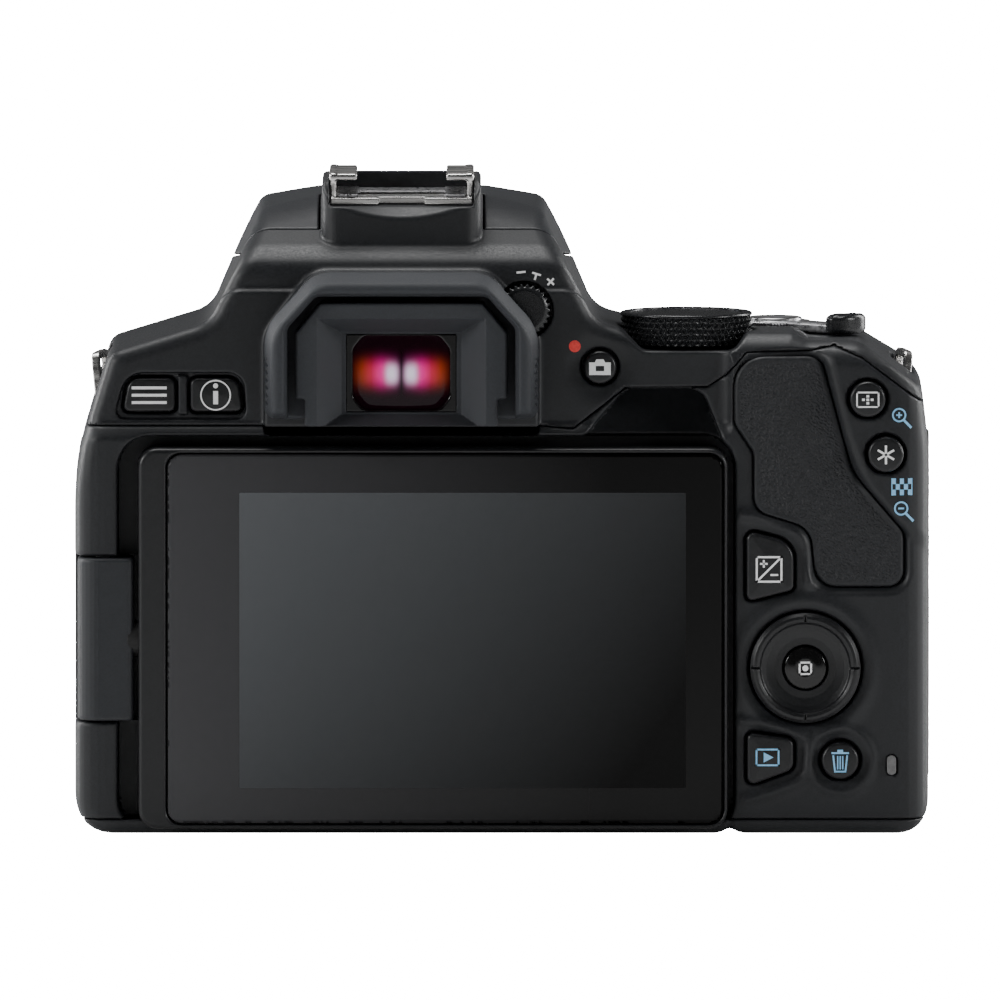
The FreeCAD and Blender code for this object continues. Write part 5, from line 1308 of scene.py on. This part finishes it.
mark("index_mark", (71.6, 50.0), boxes((u, u + 0.58, v, v + 0.8) for u, v in index_cells)
     + frame_box(-1.5, 1.5, -1.22, 1.22, 0.14), None, ROOT, BLUE_INK, 0.08)
mark("live_view_dot", (24.8, 70.0), round_spot(0, 0, 0.85), None, ROOT, RED_INK)


def dioptre_marks():
    strokes = []
    for degrees, kind in ((95, "minus"), (72, "zero"), (48, "plus")):
        t = math.radians(degrees)
        mx, mz = 5.6 * math.cos(t), 5.4 * math.sin(t)
        ux, uz = math.cos(t - math.pi / 2), math.sin(t - math.pi / 2)
        strokes += bar(mx - 0.65 * ux, mz - 0.65 * uz, mx + 0.65 * ux, mz + 0.65 * uz, 0.28)
        if kind == "plus":
            strokes += bar(mx - 0.65 * uz, mz + 0.65 * ux, mx + 0.65 * uz, mz - 0.65 * ux, 0.28)
        if kind == "zero":
            strokes += bar(mx, mz, mx - 0.9 * math.cos(t), mz - 0.9 * math.sin(t), 0.28)
    return strokes


put("access_lamp", lambda x, y, z: extrude(LAMP(x, z), y, REAR_Y - 0.15, REAR_Y + 1.0, 0.2),
    (69.4, -20.8, 8.5),
    (70.9, -19.4, 11.5), ROOT, FOAM_GREY, 0.1, None, "key_plastic")
put("self_timer_lamp", lambda x, y, z: extrude(disc(x, z, (44.5, 50.5), 2.1), y, 20.5, FRONT_Y - 0.3, 0.4),
    (42.3, 20.4, 48.3), (46.7, 24.0, 52.7), ROOT, LAMP_WINDOW, 0.2, None, "flash_window")


DISPLAY_GLASS = finish_of("display_glass", grey(0.006), grey(0.009, 0.1), (0.3, 0.36), 14, 0.0, ior=1.22)


def paint_reflection_across(mat, start, end, near, far):
    """Paints a reflection into the colour: a straight gradient over a piece, from one point in the row frame
    to another.
    """
    nodes = Nodes(mat)
    way = Vector(end) - Vector(start)
    way = way / way.length_squared
    dot = nodes.math("DOT_PRODUCT", nodes.add("TexCoord").outputs["Object"], way, kind="VectorMath")
    along = nodes.math("SUBTRACT", dot.outputs["Value"], Vector(start).dot(way))
    nodes.shade(Base_Color=nodes.ramp(along.outputs[0], (0.0, near), (1.0, far)))


# Painted reflection: the screen glass is lighter at its left and darker to its right, standing in for a
# reflection of the studio.
paint_reflection_across(SCREEN, (-0.0335, 0, 0.028), (0.03, 0, 0.028), (0.045, 0.045, 0.048), (0.002, 0.002, 0.002))
# Painted reflection: the display is lighter at its top left and darker to its bottom right, standing in for a
# reflection of the studio.
paint_reflection_across(DISPLAY_GLASS, (-0.023, 0, 0.049), (0.033, 0, 0.010), (0.085, 0.09, 0.096),
            (0.003, 0.003, 0.003))
mark("display_area", (0, 0), [rect(-23.2, 40.7, 6.8, 49.2, 0.2).tolist()], PANEL_Y[0] + 0.12, "screen",
     DISPLAY_GLASS, 0.02)
mark("dioptre_marks", DIOPTRE, dioptre_marks(), None, ROOT, WHITE_INK)

CAD_FINISH = {
    "screen_swing_pins": STEEL, "screen_display": BLACK, "cross_key_plate": BLACK_METAL,
    "lens_lock_pin": STEEL,
    "pentamirror": BLACK_METAL, "flash_window": LAMP_WINDOW, "lens_mount_ring": MOUNT, "mount_screws": STEEL,
    "mirror_box": BLACK, "contact_block": BLACK, "main_mirror": BLACK_METAL, "mirror_glass": MIRROR,
    "sub_mirror": MIRROR, "shutter_unit": BLACK, "shutter_blade_upper": BLACK_METAL,
    "shutter_blade_lower": BLACK_METAL, "image_sensor": SENSOR, "main_board": BOARD,
    "audio_board": FOAM_GREY,
    "digital_board": FOAM_GREY, "chassis": BLACK_METAL, "tripod_socket": STEEL, "battery": BATTERY,
    "battery_door": BODY, "battery_door_latch": COVER_RUBBER, "strap_lugs": SHOE, "case_screws": STEEL,
}
for node, material in CAD_FINISH.items():
    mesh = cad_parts[node].data
    mesh.materials.clear()
    mesh.materials.append(material)


# ------------------------------------------------------------------ studio
def lamp(name, at, aim, energy, size, size_y=None, colour=(1, 1, 1)):
    data = bpy.data.lights.new(name, "AREA")
    data.energy, data.size, data.color = energy, size, colour
    if size_y:
        data.shape, data.size_y = "RECTANGLE", size_y
    obj = bpy.data.objects.new(name, data)
    bpy.context.scene.collection.objects.link(obj)
    obj.location = at
    obj.rotation_euler = (Vector(aim) - Vector(at)).to_track_quat("-Z", "Y").to_euler()
    return obj


floor_mesh = bpy.data.meshes.new("floor")
floor_mesh.from_pydata([(-6, -6, 0), (6, -6, 0), (6, 6, 0), (-6, 6, 0)], [], [(0, 1, 2, 3)])
floor = bpy.data.objects.new("floor", floor_mesh)
bpy.context.scene.collection.objects.link(floor)
floor.location.z = -0.0006
pale = finish_of("pale_floor", (0.8, 0.8, 0.8), (0.84, 0.84, 0.84), (0.8, 0.9), 3, 0.0)
pale_nodes = Nodes(pale)
floor_glow = pale_nodes.math("MULTIPLY", pale_nodes.add("LightPath").outputs["Is Camera Ray"], 26.0)
pale_nodes.shade(Emission_Color=(1, 1, 1, 1), Emission_Strength=floor_glow.outputs[0])
floor_mesh.materials.append(pale)

CENTRE = (0.014, 0.0, 0.045)
lamp("top_soft", (-0.1, 0.15, 1.0), CENTRE, 9.0, 0.55)
lamp("key_soft", (-1.15, -0.5, 0.5), CENTRE, 10.0, 0.35)
lamp("fill_right", (1.15, -0.4, 0.4), CENTRE, 7.0, 0.3)
lamp("rim_left", (-0.7, 0.45, 0.3), CENTRE, 6.0, 0.2, 0.6)
lamp("rim_right", (0.7, 0.45, 0.3), CENTRE, 5.0, 0.2, 0.6)

world = bpy.data.worlds.new("studio")
studio = Nodes(world)
seen = studio.add("LightPath").outputs["Is Camera Ray"]
strength = studio.add("MapRange", To_Min=0.05, To_Max=30.0, Value=seen)
backdrop = studio.tree.nodes["Background"]
studio.feed(backdrop.inputs["Strength"], strength.outputs["Result"])
studio.feed(backdrop.inputs["Color"], (1, 1, 1, 1))
bpy.context.scene.world = world

ELEVATION = math.radians(4.5)
DISTANCE = 5.0
AIM = Vector((0.0141, REAR_Y * MM, 0.0481))
camera_data = bpy.data.cameras.new("view")
camera_data.lens, camera_data.clip_end = 1258.0, 40
camera = bpy.data.objects.new("view", camera_data)
bpy.context.scene.collection.objects.link(camera)
camera.location = AIM + Vector((0, -DISTANCE * math.cos(ELEVATION), DISTANCE * math.sin(ELEVATION)))
camera.rotation_euler = (AIM - camera.location).to_track_quat("-Z", "Y").to_euler()
bpy.context.scene.camera = camera
